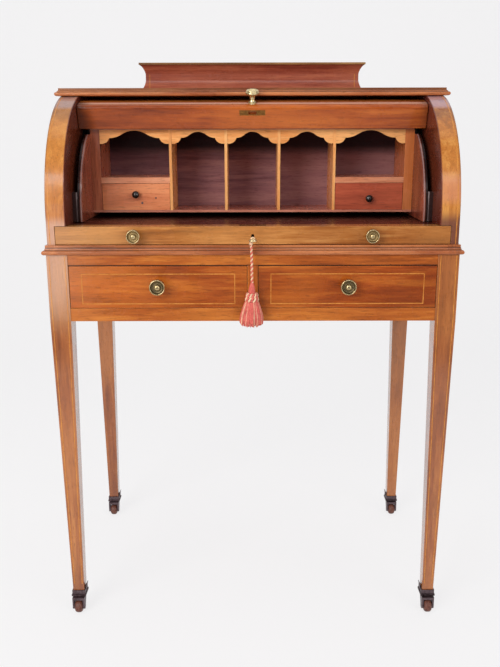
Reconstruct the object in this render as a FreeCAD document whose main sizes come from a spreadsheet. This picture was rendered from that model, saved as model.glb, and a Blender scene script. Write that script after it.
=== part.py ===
import FreeCAD, Part
import Sketcher
import math
import os
from collections import namedtuple
from types import SimpleNamespace

# Cylinder desk on four tapered legs with casters. X runs along the front, +Y to the back, +Z up.
# The origin is on the floor, in the middle of the desk's box. The cylinder fall is open.

DOC = FreeCAD.newDocument("cylinder_desk")
NODES = {}

# Driving sizes, in millimetres and, where the name ends in angle, degrees
SIZES = {
    # Clearances that many pieces share
    "overrun": 5.0,
    "running_fit": 0.05,
    "sliding_gap": 0.3,
    # Legs
    "leg_half_span": 355.0,
    "leg_depth_span": 438.0,
    "leg_width": 36.5,
    "leg_toe_width": 21.0,
    # Casters
    "wheel_radius": 12.5,
    "wheel_width": 15.0,
    "wheel_round": 6.0,
    "wheel_top_gap": 2.0,
    "wheel_side_gap": 0.7,
    "axle_radius": 2.5,
    "horn_arm": 3.3,
    "horn_eye_radius": 6.0,
    "horn_crown": 5.0,
    "horn_heel": 9.0,
    "caster_trail": 14.0,
    "pintle_radius": 3.5,
    "pintle_head_radius": 5.5,
    "pintle_head": 2.0,
    "cup_floor": 5.0,
    "cup_height": 12.0,
    "cup_wall": 1.7,
    "cup_rim": 1.2,
    "cup_rim_height": 3.5,
    "ear_root": 5.0,
    "ear_rise": 11.0,
    "ear_lean": 3.0,
    "ear_tip": 1.0,
    "ear_width": 10.0,
    # Frieze
    "frieze_base": 579.5,
    "frieze_height": 117.0,
    "rail_set": 1.0,
    "rail_depth": 20.0,
    "top_rail_height": 19.0,
    "bottom_rail_height": 23.0,
    "muntin_width": 18.5,
    "apron_set": 1.5,
    "apron_thickness": 18.0,
    "runner_width": 16.0,
    "runner_thickness": 14.0,
    "guide_rise": 20.0,
    # Frieze drawers
    "drawer_gap": 0.8,
    "drawer_front": 20.0,
    "drawer_side": 9.0,
    "drawer_bottom": 6.0,
    "drawer_bottom_rise": 5.0,
    "drawer_headroom": 10.0,
    "drawer_back_room": 15.0,
    "knob_dowel_radius": 3.0,
    "knob_dowel": 10.0,
    "drawer_knob_radius": 14.2,
    "drawer_knob_reach": 24.0,
    "drawer_knob_lift": 3.0,
    # Bed board and its moulding
    "bed_thickness": 16.6,
    "moulding_reach": 6.4,
    "moulding_bead": 4.0,
    "moulding_lip": 0.7,
    "moulding_lip_height": 2.5,
    "moulding_quirk": 0.5,
    "moulding_fillet": 1.5,
    # Cheeks and back
    "cheek_end_set": 2.5,
    "cheek_thickness": 33.0,
    "cheek_set": 3.5,
    "cheek_back_set": 2.0,
    "axis_back_room": 7.5,
    "axis_lift": 15.5,
    "back_panel": 8.0,
    # Top board and gallery
    "top_gap": 5.0,
    "top_thickness": 14.0,
    "top_overhang": 12.0,
    "top_reach": 10.5,
    "top_bead": 3.5,
    "top_lip": 4.0,
    "top_lip_height": 3.0,
    "gallery_half_width": 224.0,
    "gallery_depth": 38.0,
    "gallery_height": 58.0,
    "gallery_foot": 14.0,
    "gallery_foot_height": 27.0,
    "gallery_cove": 10.5,
    "gallery_cove_height": 18.0,
    "gallery_cap": 4.0,
    "gallery_cap_lip": 2.0,
    # Linings, spacers and pivots
    "lining_slot": 9.5,
    "lining_thickness": 8.5,
    "lining_gap": 10.0,
    "lining_top_set": 11.4,
    "lining_behind": 24.0,
    "spacer_set": 3.0,
    "spacer_depth": 24.0,
    "spacer_height": 52.0,
    "pivot_radius": 5.0,
    "pivot_grip": 15.0,
    # Cylinder fall
    "cylinder_set": 8.5,
    "cylinder_side_gap": 1.0,
    "shell_thickness": 18.0,
    "closing_gap": 1.0,
    "open_angle": 68.9,
    "tail_angle": 156.0,
    "edge_depth": 42.0,
    "edge_height": 24.0,
    "edge_sweep_angle": 6.9,
    "edge_round": 6.0,
    "arm_start_angle": 95.0,
    "arm_end_angle": 128.0,
    "arm_side_gap": 1.5,
    "arm_slide_gap": 1.5,
    "cylinder_knob_angle": 3.8,
    "cylinder_knob_radius": 12.4,
    "cylinder_knob_reach": 24.0,
    "strike_half_width": 23.5,
    "strike_width": 9.5,
    "strike_thickness": 1.5,
    "strike_mortise": 8.0,
    # Writing slide
    "slide_height": 31.4,
    "slide_foot_gap": 1.0,
    "slide_end_set": 14.5,
    "slide_front": 30.0,
    "slide_notch_gap": 0.8,
    "slide_panel": 12.0,
    "slide_bearer": 22.0,
    "slide_back_room": 15.0,
    "slide_knob_radius": 12.2,
    "slide_knob_reach": 21.0,
    "slide_knob_half_span": 202.5,
    # Lock and key
    "key_set": 5.4,
    "lock_half_width": 23.0,
    "lock_foot": 2.4,
    "lock_back_wall": 3.1,
    "lock_plate": 2.0,
    "key_bit_room": 5.0,
    "key_bit_room_radius": 7.5,
    "bolt_half_width": 7.0,
    "bolt_thickness": 5.0,
    "bolt_height": 20.0,
    "bolt_sink": 0.5,
    "bolt_side_gap": 0.2,
    "keyhole_radius": 2.6,
    "keyhole_rise": 4.2,
    "keyhole_slot": 3.0,
    "keyhole_drop": 7.5,
    "key_shank_radius": 2.2,
    "key_shank_reach": 24.5,
    "key_bit": 4.0,
    "key_bit_length": 6.8,
    "key_bit_width": 2.2,
    "bow_radius": 5.9,
    "bow_bar_radius": 1.85,
    # Tassel
    "tassel_reach": 21.0,
    "cord_radius": 2.4,
    "cord_length": 68.6,
    "head_height": 18.0,
    "head_radius": 5.6,
    "ruff_radius": 9.6,
    "ruff_height": 14.0,
    "ruff_foot_radius": 7.5,
    "skirt_neck_half_width": 11.5,
    "skirt_neck_half_depth": 9.0,
    "skirt_half_width": 20.0,
    "skirt_half_depth": 14.5,
    "skirt_height": 45.0,
    # Pigeonhole case
    "case_set": 46.0,
    "case_depth": 110.0,
    "case_rise": 8.4,
    "case_floor": 4.0,
    "case_gap": 3.1,
    "case_top": 3.0,
    "case_back": 5.0,
    "case_stile": 17.0,
    "divider_thickness": 5.0,
    "inner_divider": 49.6,
    "outer_divider": 153.2,
    "shelf_rise": 50.5,
    "shelf_thickness": 10.5,
    "arch_thickness": 5.0,
    "arch_set": 1.0,
    "arch_height": 25.0,
    "arch_lobe": 17.5,
    "arch_lobe_rise": 10.0,
    "arch_wide_rise": 23.6,
    "arch_narrow_rise": 21.2,
    # Small drawers
    "small_gap": 0.7,
    "small_front": 8.0,
    "small_side": 5.0,
    "small_bottom": 4.0,
    "small_headroom": 4.0,
    "small_back_room": 4.0,
    "small_knob_radius": 7.0,
    "small_knob_reach": 14.0,
    "small_knob_dowel": 5.0,
    "small_knob_left_lift": 4.5,
    "small_knob_right_lift": -3.5,
}

# Outlines of turned knobs from foot to crown: shares of the radius and reach, with a middle point on a bow
BRASS_KNOB_SHARES = [
    (None, (0.66, 0.0)),
    (None, (0.66, 0.08)),
    ((0.40, 0.15), (0.36, 0.30)),
    (None, (0.36, 0.52)),
    ((0.60, 0.60), (0.94, 0.64)),
    ((1.0, 0.76), (0.94, 0.90)),
    ((0.87, 0.96), (0.80, 0.90)),
    ((0.62, 0.76), (0.42, 0.76)),
    (None, (0.38, 0.88)),
    ((0.27, 0.96), (0.12, 1.0)),
    (None, (0.0, 1.0)),
]
MUSHROOM_KNOB_SHARES = [
    (None, (0.62, 0.0)),
    (None, (0.62, 0.10)),
    ((0.44, 0.22), (0.40, 0.42)),
    ((0.50, 0.60), (0.80, 0.68)),
    ((1.0, 0.77), (0.90, 0.90)),
    ((0.78, 1.0), (0.64, 0.97)),
    ((0.42, 0.915), (0.20, 0.89)),
    (None, (0.0, 0.89)),
]
BALL_KNOB_SHARES = [
    (None, (0.60, 0.0)),
    (None, (0.60, 0.08)),
    ((0.46, 0.13), (0.52, 0.20)),
    ((1.0, 0.56), (0.56, 0.92)),
    ((0.32, 0.98), (0.10, 1.0)),
    (None, (0.0, 1.0)),
]
# How far along and out the middle point of a round, cove or foot lies
COVE_SHARES = (0.29, 0.71)
GALLERY_COVE_SHARES = (0.40, 0.60)
GALLERY_FOOT_SHARES = (0.50, 0.32)
# The same for an arch's lobes, and for the ogee from a lobe to the crown with the point where it turns over
LOBE_SHARES = (0.74, 0.30)
OGEE_MIDDLE_SHARES = (0.27, 0.14)
OGEE_TURN_SHARES = (0.50, 0.50)
MOULDING_COVE_SHARE = 0.25
HALF_SHARE = 0.5


class Size:
    """A length or angle: its value, and the expression that ties it to the sheet."""

    def __init__(self, text, value):
        self.text = text
        self.value = float(value)

    def join(self, sign, other, value):
        return Size(f"({self.text} {sign} {as_size(other).text})", value)

    def __add__(self, other):
        return self.join("+", other, self.value + as_size(other).value)

    def __sub__(self, other):
        return self.join("-", other, self.value - as_size(other).value)

    def __mul__(self, other):
        return self.join("*", other, self.value * as_size(other).value)

    def __truediv__(self, other):
        return self.join("/", other, self.value / as_size(other).value)

    def __neg__(self):
        return Size(f"(-1 * {self.text})", -self.value)


def as_size(value):
    return value if isinstance(value, Size) else Size(repr(value), value)


def angle(size):
    return Size(f"({size.text} * 1 deg)", size.value)


def cosine(turn):
    return Size(f"cos({turn.text})", math.cos(math.radians(turn.value)))


def sine(turn):
    return Size(f"sin({turn.text})", math.sin(math.radians(turn.value)))


def arc_sine(share):
    return Size(f"asin({share.text})", math.degrees(math.asin(share.value)))


def leg_of(longest, other):
    """The third side of a right triangle, from its longest side and one other."""
    value = math.sqrt(longest.value**2 - other.value**2)
    return Size(f"sqrt({longest.text}^2 - {other.text}^2)", value)


def fill_sheet():
    sheet = DOC.addObject("Spreadsheet::Sheet", "Sizes")
    for row, (name, value) in enumerate(SIZES.items(), 1):
        sheet.set(f"A{row}", name)
        sheet.set(f"B{row}", str(value))
        sheet.setAlias(f"B{row}", name)
    DOC.recompute()
    named = {name: Size(f"Sizes.{name}", value) for name, value in SIZES.items()}
    return SimpleNamespace(**named)


S = fill_sheet()
ZERO = Size("0", 0)
QUARTER_TURN = as_size(90)
FULL_TURN = 360
SIDES = (("left", -1), ("right", 1))

# Drawing tools: outlines of steps, each a point with, for a bowed edge, a point on its way
Step = namedtuple("Step", "via point")


def to(u, v):
    return Step(None, (u, v))


def bend(via, point):
    return Step(via, point)


def bind(thing, name, size):
    thing.setExpression(name, size.text)


def vector(point):
    return FreeCAD.Vector(point[0].value, point[1].value, 0)


def draw(body, role, steps, offset):
    """A closed sketch on one of the body's own planes, each edge ending at its step's point."""
    sketch = body.newObject("Sketcher::SketchObject", body.Name + "_outline")
    plane = next(f for f in body.Origin.OriginFeatures if f.Role == role)
    sketch.AttachmentSupport = [(plane, "")]
    sketch.MapMode = "FlatFace"
    bind(sketch, "AttachmentOffset.Base.z", offset)
    edges = []
    pinned = []
    rules = []
    for before, step in zip(steps[-1:] + steps[:-1], steps):
        start = vector(before.point)
        end = vector(step.point)
        flipped = False
        if step.via is None:
            curve = Part.LineSegment(start, end)
        else:
            via = vector(step.via)
            flipped = (via - start).cross(end - start).z < 0
            curve = Part.ArcOfCircle(end, via, start) if flipped else Part.ArcOfCircle(start, via, end)
        number = sketch.addGeometry(curve, False)
        edges.append((number, 2, 1) if flipped else (number, 1, 2))
    for edge, after, step in zip(edges, edges[1:] + edges[:1], steps):
        rules.append(Sketcher.Constraint("Coincident", edge[0], edge[2], after[0], after[1]))
        pinned.append((edge[0], edge[2], step.point))
        if step.via is not None:
            middle = sketch.addGeometry(Part.Point(vector(step.via)), True)
            rules.append(Sketcher.Constraint("PointOnObject", middle, 1, edge[0]))
            pinned.append((middle, 1, step.via))
    first = len(rules)
    sizes = []
    for edge, end, point in pinned:
        for kind, size in zip(("DistanceX", "DistanceY"), point):
            rules.append(Sketcher.Constraint(kind, -1, 1, edge, end, size.value))
            sizes.append(size)
    sketch.addConstraint(rules)
    for number, size in enumerate(sizes, first):
        bind(sketch, f"Constraints[{number}]", size)
    return sketch


def pad(name, role, steps, span):
    """An outline made solid over a span along its plane's normal: x for YZ, y for XZ, z for XY."""
    low, high = span
    body = DOC.addObject("PartDesign::Body", name)
    sketch = draw(body, role, steps, -high if role == "XZ_Plane" else low)
    feature = body.newObject("PartDesign::Pad", name + "_pad")
    feature.Profile = sketch
    bind(feature, "Length", high - low)
    return body


def turned(name, steps, place, axis=(1, 0, 0), turn=QUARTER_TURN):
    """A turned piece: radius and height steps about its own axis, then set down and turned over."""
    body = DOC.addObject("PartDesign::Body", name)
    sketch = draw(body, "XZ_Plane", steps, ZERO)
    feature = body.newObject("PartDesign::Revolution", name + "_turning")
    feature.Profile = sketch
    feature.ReferenceAxis = (sketch, ["V_Axis"])
    feature.Angle = FULL_TURN
    settle(body, place, axis, turn)
    return body


def settle(thing, place, axis, turn):
    tilt = FreeCAD.Rotation(FreeCAD.Vector(*axis), QUARTER_TURN.value)
    thing.Placement = FreeCAD.Placement(FreeCAD.Vector(), tilt)
    bind(thing, "Placement.Rotation.Angle", turn)
    for name, size in zip("xyz", place):
        bind(thing, "Placement.Base." + name, size)


def knob(name, shares, radius, reach, dowel, place, turn=QUARTER_TURN):
    """A turned knob with a dowel behind it, and the hole that the dowel fills."""
    stem = [
        to(ZERO, -dowel),
        to(S.knob_dowel_radius, -dowel),
        to(S.knob_dowel_radius, ZERO),
    ]
    steps = []
    for via, point in shares:
        middle = via and (radius * via[0], reach * via[1])
        steps.append(Step(middle, (radius * point[0], reach * point[1])))
    hole = turned(name + "_hole", stem + [to(ZERO, ZERO)], place, turn=turn)
    return turned(name, stem + steps, place, turn=turn), hole


def board(name, x, y, z):
    """A squared board between two limits on each axis."""
    box = DOC.addObject("Part::Box", name)
    for size, place, (low, high) in zip(("Length", "Width", "Height"), "xyz", (x, y, z)):
        bind(box, size, high - low)
        bind(box, "Placement.Base." + place, low)
    return box


def rod(name, along, radius, span, place):
    """A cylinder along x, y or z over a span; place gives the other two coordinates in order."""
    bar = DOC.addObject("Part::Cylinder", name)
    bind(bar, "Radius", radius)
    bind(bar, "Height", span[1] - span[0])
    base = list(place)
    base.insert("xyz".index(along), span[0])
    turns = {"x": ((0, 1, 0), QUARTER_TURN), "y": ((1, 0, 0), -QUARTER_TURN), "z": ((0, 0, 1), ZERO)}
    settle(bar, base, *turns[along])
    return bar


def ring(name, radius, bar_radius, place, axis=(1, 0, 0), turn=ZERO):
    torus = DOC.addObject("Part::Torus", name)
    bind(torus, "Radius1", radius)
    bind(torus, "Radius2", bar_radius)
    settle(torus, place, axis, turn)
    return torus


def fuse(name, *pieces):
    joined = DOC.addObject("Part::MultiFuse", name)
    joined.Shapes = list(pieces)
    return joined


def cut(name, piece, *tools):
    left = DOC.addObject("Part::Cut", name)
    left.Base = piece
    left.Tool = tools[0] if len(tools) == 1 else fuse(name + "_tools", *tools)
    return left


def common(name, first, second):
    shared = DOC.addObject("Part::Common", name)
    shared.Base = first
    shared.Tool = second
    return shared


def group(name, pieces):
    """Separate solids that share one node."""
    bunch = DOC.addObject("Part::Compound", name)
    bunch.Links = list(pieces)
    return bunch


def node(name, piece):
    piece.Label = name
    NODES[name] = piece
    return piece


def span(side, near, far):
    """The x range between two distances from the middle, on one side of the desk."""
    return (near, far) if side > 0 else (-far, -near)


def both(half):
    return (-half, half)


def other_way(steps):
    """The same path mirrored across the middle and walked backwards."""
    points = [(-s.point[0], s.point[1]) for s in steps]
    vias = [s.via and (-s.via[0], s.via[1]) for s in steps]
    return [Step(v, p) for v, p in zip([None] + vias[:0:-1], points[::-1])]


# Planes and lines that the pieces share
BOW_LENGTH = S.bow_radius * 2 + S.bow_bar_radius * 2
KEY_REACH = S.key_shank_reach + BOW_LENGTH
FRONT = (KEY_REACH - S.cheek_set - S.leg_depth_span) / 2
BACK = FRONT + S.leg_depth_span
LEG_INNER = S.leg_half_span - S.leg_width
LEG_LINES = {"front": FRONT + S.leg_width / 2, "back": BACK - S.leg_width / 2}
LEG_MIDDLE = S.leg_half_span - S.leg_width / 2
FRIEZE_TOP = S.frieze_base + S.frieze_height
DRAWER_LOW = S.frieze_base + S.bottom_rail_height
DRAWER_HIGH = FRIEZE_TOP - S.top_rail_height
RAIL_FACE = FRONT + S.rail_set
RAIL_BACK = RAIL_FACE + S.rail_depth
APRON_INNER = S.leg_half_span - S.apron_set - S.apron_thickness
BACK_APRON = BACK - S.apron_set - S.apron_thickness
BED_TOP = FRIEZE_TOP + S.bed_thickness
SLIDE_TOP = BED_TOP + S.slide_height
CHEEK_FACE = FRONT + S.cheek_set
CHEEK_BACK = BACK - S.cheek_back_set
CHEEK_OUTER = S.leg_half_span - S.cheek_end_set
CHEEK_INNER = CHEEK_OUTER - S.cheek_thickness
SLIDE_HALF = CHEEK_OUTER - S.slide_end_set
PANEL_FACE = CHEEK_BACK - S.back_panel
AXIS_Y = (CHEEK_FACE + PANEL_FACE - S.axis_back_room) / 2
AXIS_Z = SLIDE_TOP + S.axis_lift
CHEEK_RADIUS = AXIS_Y - CHEEK_FACE
CYLINDER_RADIUS = CHEEK_RADIUS - S.cylinder_set
EDGE_RADIUS = CYLINDER_RADIUS - S.edge_depth
TOP_LOW = AXIS_Z + CYLINDER_RADIUS + S.top_gap
TOP_HIGH = TOP_LOW + S.top_thickness
CROWN_Y = AXIS_Y - leg_of(CHEEK_RADIUS, TOP_LOW - AXIS_Z)
TOP_FRONT = CROWN_Y - S.top_overhang
LINING_OUTER = CHEEK_INNER - S.lining_slot
LINING_INNER = LINING_OUTER - S.lining_thickness
LINING_RADIUS = EDGE_RADIUS - S.lining_gap
LINING_LOW = SLIDE_TOP + S.closing_gap
CASE_LOW = SLIDE_TOP + S.case_rise
CASE_FLOOR_TOP = CASE_LOW + S.case_floor
CASE_HIGH = AXIS_Z + leg_of(EDGE_RADIUS - S.case_gap, S.case_set)
CASE_TOP_LOW = CASE_HIGH - S.case_top
CASE_FRONT = AXIS_Y - S.case_set
CASE_END = CASE_FRONT + S.case_depth
CASE_BACK_FACE = CASE_END - S.case_back
CASE_INNER = LINING_INNER - S.case_stile
LINING_HIGH = CASE_HIGH - S.lining_top_set
LOCK_LOW = BED_TOP + S.lock_foot
KEY_Z = (LOCK_LOW + SLIDE_TOP) / 2 - S.key_set


def polar(radius, turn):
    """A point about the cylinder's axis, its angle counted from the front upwards."""
    return AXIS_Y - radius * cosine(turn), AXIS_Z + radius * sine(turn)


def arc_steps(radius, start, end):
    """A round stretch about the cylinder's axis between two angles."""
    middle = (start + end) / 2
    return [to(*polar(radius, start)), bend(polar(radius, middle), polar(radius, end))]


# Legs: a square block over a taper, each with its foot in a caster cup
WHEEL_TOP = S.wheel_radius * 2
HORN_LOW = WHEEL_TOP + S.wheel_top_gap
HORN_HIGH = HORN_LOW + S.horn_crown
CUP_LOW = HORN_HIGH + S.sliding_gap
TOE = CUP_LOW + S.cup_floor
CUP_HIGH = CUP_LOW + S.cup_height


def square(half, x, y):
    return [to(x - half, y - half), to(x + half, y - half), to(x + half, y + half), to(x - half, y + half)]


def leg(name, x, y):
    body = DOC.addObject("PartDesign::Body", name)
    loft = body.newObject("PartDesign::AdditiveLoft", name + "_taper")
    loft.Profile = draw(body, "XY_Plane", square(S.leg_toe_width / 2, x, y), TOE)
    loft.Sections = [draw(body, "XY_Plane", square(S.leg_width / 2, x, y), S.frieze_base)]
    loft.Ruled = True
    block = body.newObject("PartDesign::Pad", name + "_block")
    block.Profile = draw(body, "XY_Plane", square(S.leg_width / 2, x, y), S.frieze_base)
    bind(block, "Length", S.frieze_height)
    return node(name, body)


# Casters: cup on the leg, horn that swivels on its pintle, wheel on the horn's axle
CUP_INNER = S.leg_toe_width / 2 + S.sliding_gap
CUP_OUTER = CUP_INNER + S.cup_wall
HORN_HALF = S.wheel_width / 2 + S.wheel_side_gap + S.horn_arm


def caster_cup(name, side, x, y):
    outer = board(
        name + "_block",
        (x - CUP_OUTER, x + CUP_OUTER),
        (y - CUP_OUTER, y + CUP_OUTER),
        (CUP_LOW, CUP_HIGH),
    )
    pocket = board(
        name + "_pocket",
        (x - CUP_INNER, x + CUP_INNER),
        (y - CUP_INNER, y + CUP_INNER),
        (TOE, CUP_HIGH + S.overrun),
    )
    bore = rod(name + "_bore", "z", S.pintle_radius + S.running_fit, (CUP_LOW - S.overrun, TOE), (x, y))
    head_low = TOE - S.pintle_head - S.sliding_gap * 2
    seat_z = (head_low, TOE + S.overrun)
    seat = rod(name + "_seat", "z", S.pintle_head_radius + S.sliding_gap, seat_z, (x, y))
    rim_half = CUP_OUTER + S.cup_rim
    rim = board(
        name + "_rim",
        (x - rim_half, x + rim_half),
        (y - rim_half, y + rim_half),
        (CUP_LOW, CUP_LOW + S.cup_rim_height),
    )
    wall = x - CUP_OUTER * side
    inside_wall = wall + S.cup_wall * HALF_SHARE * side
    tip = wall - S.ear_lean * side
    root = CUP_HIGH - S.ear_root
    ear_high = CUP_HIGH + S.ear_rise
    ear_outline = [
        to(inside_wall, root),
        to(wall, root),
        to(tip, ear_high),
        to(tip + S.ear_tip * side, ear_high),
        to(inside_wall, CUP_HIGH),
    ]
    ear = pad(name + "_ear", "XZ_Plane", ear_outline, (y - S.ear_width / 2, y + S.ear_width / 2))
    blank = fuse(name + "_blank", outer, rim)
    return fuse(name, cut(name + "_hollow", blank, pocket, bore, seat), ear)


def caster_horn(name, x, y):
    axle_y = y - S.caster_trail
    outline = [
        to(y + S.horn_heel, HORN_HIGH),
        to(y + S.horn_heel, HORN_LOW),
        to(y, HORN_LOW),
        to(axle_y + S.horn_eye_radius, S.wheel_radius),
        bend(
            (axle_y, S.wheel_radius - S.horn_eye_radius),
            (axle_y - S.horn_eye_radius, S.wheel_radius),
        ),
        to(axle_y - S.horn_eye_radius, HORN_HIGH),
    ]
    blank = pad(name + "_blank", "YZ_Plane", outline, (x - HORN_HALF, x + HORN_HALF))
    slot_half = S.wheel_width / 2 + S.wheel_side_gap
    reach = S.caster_trail + S.horn_heel + S.horn_eye_radius
    slot = board(name + "_slot", (x - slot_half, x + slot_half), (y - reach, y + reach), (ZERO, HORN_LOW))
    arms = (x - HORN_HALF, x + HORN_HALF)
    hole = rod(name + "_hole", "x", S.axle_radius, arms, (axle_y, S.wheel_radius))
    axle = rod(name + "_axle", "x", S.axle_radius, arms, (axle_y, S.wheel_radius))
    head_high = TOE - S.sliding_gap
    pintle = rod(name + "_pintle", "z", S.pintle_radius, (HORN_LOW, head_high), (x, y))
    head = rod(name + "_head", "z", S.pintle_head_radius, (head_high - S.pintle_head, head_high), (x, y))
    horn = fuse(name + "_horn", cut(name + "_fork", blank, slot, hole), pintle, head)
    return node(name, group(name, [horn, axle]))


def caster_wheel(name, x, y):
    half = S.wheel_width / 2
    bore = S.axle_radius + S.running_fit
    flank = S.wheel_radius - S.wheel_round
    outline = [
        to(bore, -half),
        to(flank, -half),
        bend(
            (flank + S.wheel_round * COVE_SHARES[1], -half + S.wheel_round * COVE_SHARES[0]),
            (S.wheel_radius, -half + S.wheel_round),
        ),
        to(S.wheel_radius, half - S.wheel_round),
        bend(
            (flank + S.wheel_round * COVE_SHARES[1], half - S.wheel_round * COVE_SHARES[0]),
            (flank, half),
        ),
        to(bore, half),
    ]
    place = (x, y - S.caster_trail, S.wheel_radius)
    return node(name, turned(name, outline, place, axis=(0, 1, 0)))


def stand():
    cups = []
    for row, y in LEG_LINES.items():
        for side, sign in SIDES:
            x = LEG_MIDDLE * sign
            leg(f"leg_{row}_{side}", x, y)
            cups.append(caster_cup(f"caster_cup_{row}_{side}", sign, x, y))
            caster_horn(f"caster_horn_{row}_{side}", x, y)
            caster_wheel(f"caster_wheel_{row}_{side}", x, y)
    node("caster_cups", group("caster_cups", cups))


# Frieze: rails, muntin and aprons between the legs, with the drawers' runners and guides
def frieze():
    rail_y = (RAIL_FACE, RAIL_BACK)
    high = board("frieze_rail_high", both(LEG_INNER), rail_y, (DRAWER_HIGH, FRIEZE_TOP))
    low = board("frieze_rail_low", both(LEG_INNER), rail_y, (S.frieze_base, DRAWER_LOW))
    node("frieze_rails", group("frieze_rails", [high, low]))
    muntin = board("drawer_muntin", both(S.muntin_width / 2), rail_y, (DRAWER_LOW, DRAWER_HIGH))
    node("drawer_muntin", muntin)
    height = (S.frieze_base, FRIEZE_TOP)
    between = (FRONT + S.leg_width, BACK - S.leg_width)
    aprons = [board("apron_back", both(LEG_INNER), (BACK_APRON, BACK - S.apron_set), height)]
    run_y = (RAIL_BACK, BACK_APRON)
    run_z = (DRAWER_LOW - S.runner_thickness, DRAWER_LOW)
    guide_z = (DRAWER_LOW, DRAWER_LOW + S.guide_rise)
    runners = [
        board("runner_centre", both(S.muntin_width / 2 + S.runner_width), run_y, run_z),
        board("guide_centre", both(S.muntin_width / 2), run_y, guide_z),
    ]
    for side, sign in SIDES:
        outer = span(sign, APRON_INNER, S.leg_half_span - S.apron_set)
        aprons.append(board("apron_" + side, outer, between, height))
        edge = span(sign, LEG_INNER - S.runner_width, LEG_INNER)
        runners.append(board("runner_" + side, edge, run_y, run_z))
        beside = span(sign, LEG_INNER, APRON_INNER)
        tall = (run_z[0], guide_z[1])
        runners.append(board("guide_" + side, beside, between, tall))
    node("aprons", group("aprons", aprons))
    node("drawer_runners", group("drawer_runners", runners))


def drawer_box(name, x, y, z, side, bottom, rise):
    """Two sides, a back and a bottom as four boards inside the given limits."""
    inner = (x[0] + side, x[1] - side)
    floor = (z[0] + rise, z[0] + rise + bottom)
    return [
        board(name + "_side_a", (x[0], inner[0]), y, z),
        board(name + "_side_b", (inner[1], x[1]), y, z),
        board(name + "_bottom", inner, y, floor),
        board(name + "_back", inner, (y[1] - side, y[1]), (floor[1], z[1])),
    ]


def drawers():
    for side, sign in SIDES:
        name = "drawer_" + side
        x = span(sign, S.muntin_width / 2 + S.drawer_gap, LEG_INNER - S.drawer_gap)
        face_back = RAIL_FACE + S.drawer_front
        face_z = (DRAWER_LOW + S.drawer_gap, DRAWER_HIGH - S.drawer_gap)
        knob_z = (DRAWER_LOW + DRAWER_HIGH) / 2 + S.drawer_knob_lift
        piece, hole = knob(
            name + "_knob",
            BRASS_KNOB_SHARES,
            S.drawer_knob_radius,
            S.drawer_knob_reach,
            S.knob_dowel,
            ((x[0] + x[1]) / 2, RAIL_FACE, knob_z),
        )
        node(name + "_knob", piece)
        blank = board(name + "_front_blank", x, (RAIL_FACE, face_back), face_z)
        node(name + "_front", cut(name + "_front", blank, hole))
        box_y = (face_back, BACK_APRON - S.drawer_back_room)
        box_z = (DRAWER_LOW + S.sliding_gap, DRAWER_HIGH - S.drawer_headroom)
        boards = drawer_box(name, x, box_y, box_z, S.drawer_side, S.drawer_bottom, S.drawer_bottom_rise)
        node(name + "_box", group(name + "_box", boards))


# Moulded edges: a bead at the foot, a fillet and a cove above it and a narrow lip at the top
def moulded(face, way, low, height, reach, bead, lip, lip_height):
    """The edge's path from foot to top, standing out from a face in the way given."""
    neck = reach - bead
    lip_low = low + height - lip_height
    bead_high = low + bead * 2
    fillet_out = neck - S.moulding_quirk
    fillet_high = bead_high + S.moulding_fillet
    cove_out = lip + (fillet_out - lip) * MOULDING_COVE_SHARE
    cove_mid = (fillet_high + lip_low) / 2
    return [
        to(face + neck * way, low),
        bend((face + reach * way, low + bead), (face + neck * way, bead_high)),
        to(face + fillet_out * way, bead_high),
        to(face + fillet_out * way, fillet_high),
        bend((face + cove_out * way, cove_mid), (face + lip * way, lip_low)),
        to(face + lip * way, low + height),
    ]


def coved(face, way, low):
    """The gallery's path from foot to cap: a spreading foot, a flat and a cove."""
    foot_out, foot_up = GALLERY_FOOT_SHARES
    across, along = GALLERY_COVE_SHARES
    cove_low = low + S.gallery_height - S.gallery_cove_height
    return [
        to(face + S.gallery_foot * way, low),
        bend(
            (face + S.gallery_foot * foot_out * way, low + S.gallery_foot_height * foot_up),
            (face, low + S.gallery_foot_height),
        ),
        to(face, cove_low),
        bend(
            (face + S.gallery_cove * across * way, cove_low + S.gallery_cove_height * along),
            (face + S.gallery_cove * way, low + S.gallery_height),
        ),
    ]


def mitred(name, front_path, end_path, reach, back, low, high, face):
    """A board whose front edge and ends carry the same moulding, mitred at its corners."""
    profile_front = front_path + [to(back, high), to(back, low)]
    lengthwise = pad(name + "_front_edge", "YZ_Plane", profile_front, both(reach + S.overrun))
    crosswise = pad(
        name + "_end_edges",
        "XZ_Plane",
        end_path + other_way(end_path),
        (face - S.overrun, back + S.overrun),
    )
    return common(name, lengthwise, crosswise)


def bed():
    node("bed_board", board("bed_board", both(S.leg_half_span), (FRONT, BACK), (FRIEZE_TOP, BED_TOP)))
    sizes = (S.bed_thickness, S.moulding_reach, S.moulding_bead, S.moulding_lip, S.moulding_lip_height)
    reach = S.leg_half_span + S.moulding_reach
    whole = mitred(
        "waist_blank",
        moulded(FRONT, -1, FRIEZE_TOP, *sizes),
        moulded(S.leg_half_span, 1, FRIEZE_TOP, *sizes),
        reach,
        BACK,
        FRIEZE_TOP,
        BED_TOP,
        FRONT - S.moulding_reach,
    )
    strips = []
    front_y = (FRONT - S.moulding_reach - S.overrun, FRONT)
    high = (FRIEZE_TOP - S.overrun, BED_TOP + S.overrun)
    keep = board("waist_front_part", both(reach + S.overrun), front_y, high)
    strips.append(common("waist_front", whole, keep))
    for side, sign in SIDES:
        outside = span(sign, S.leg_half_span, reach + S.overrun)
        keep = board(f"waist_{side}_part", outside, (FRONT, BACK + S.overrun), high)
        strips.append(common("waist_" + side, whole, keep))
    node("waist_moulding", group("waist_moulding", strips))


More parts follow.
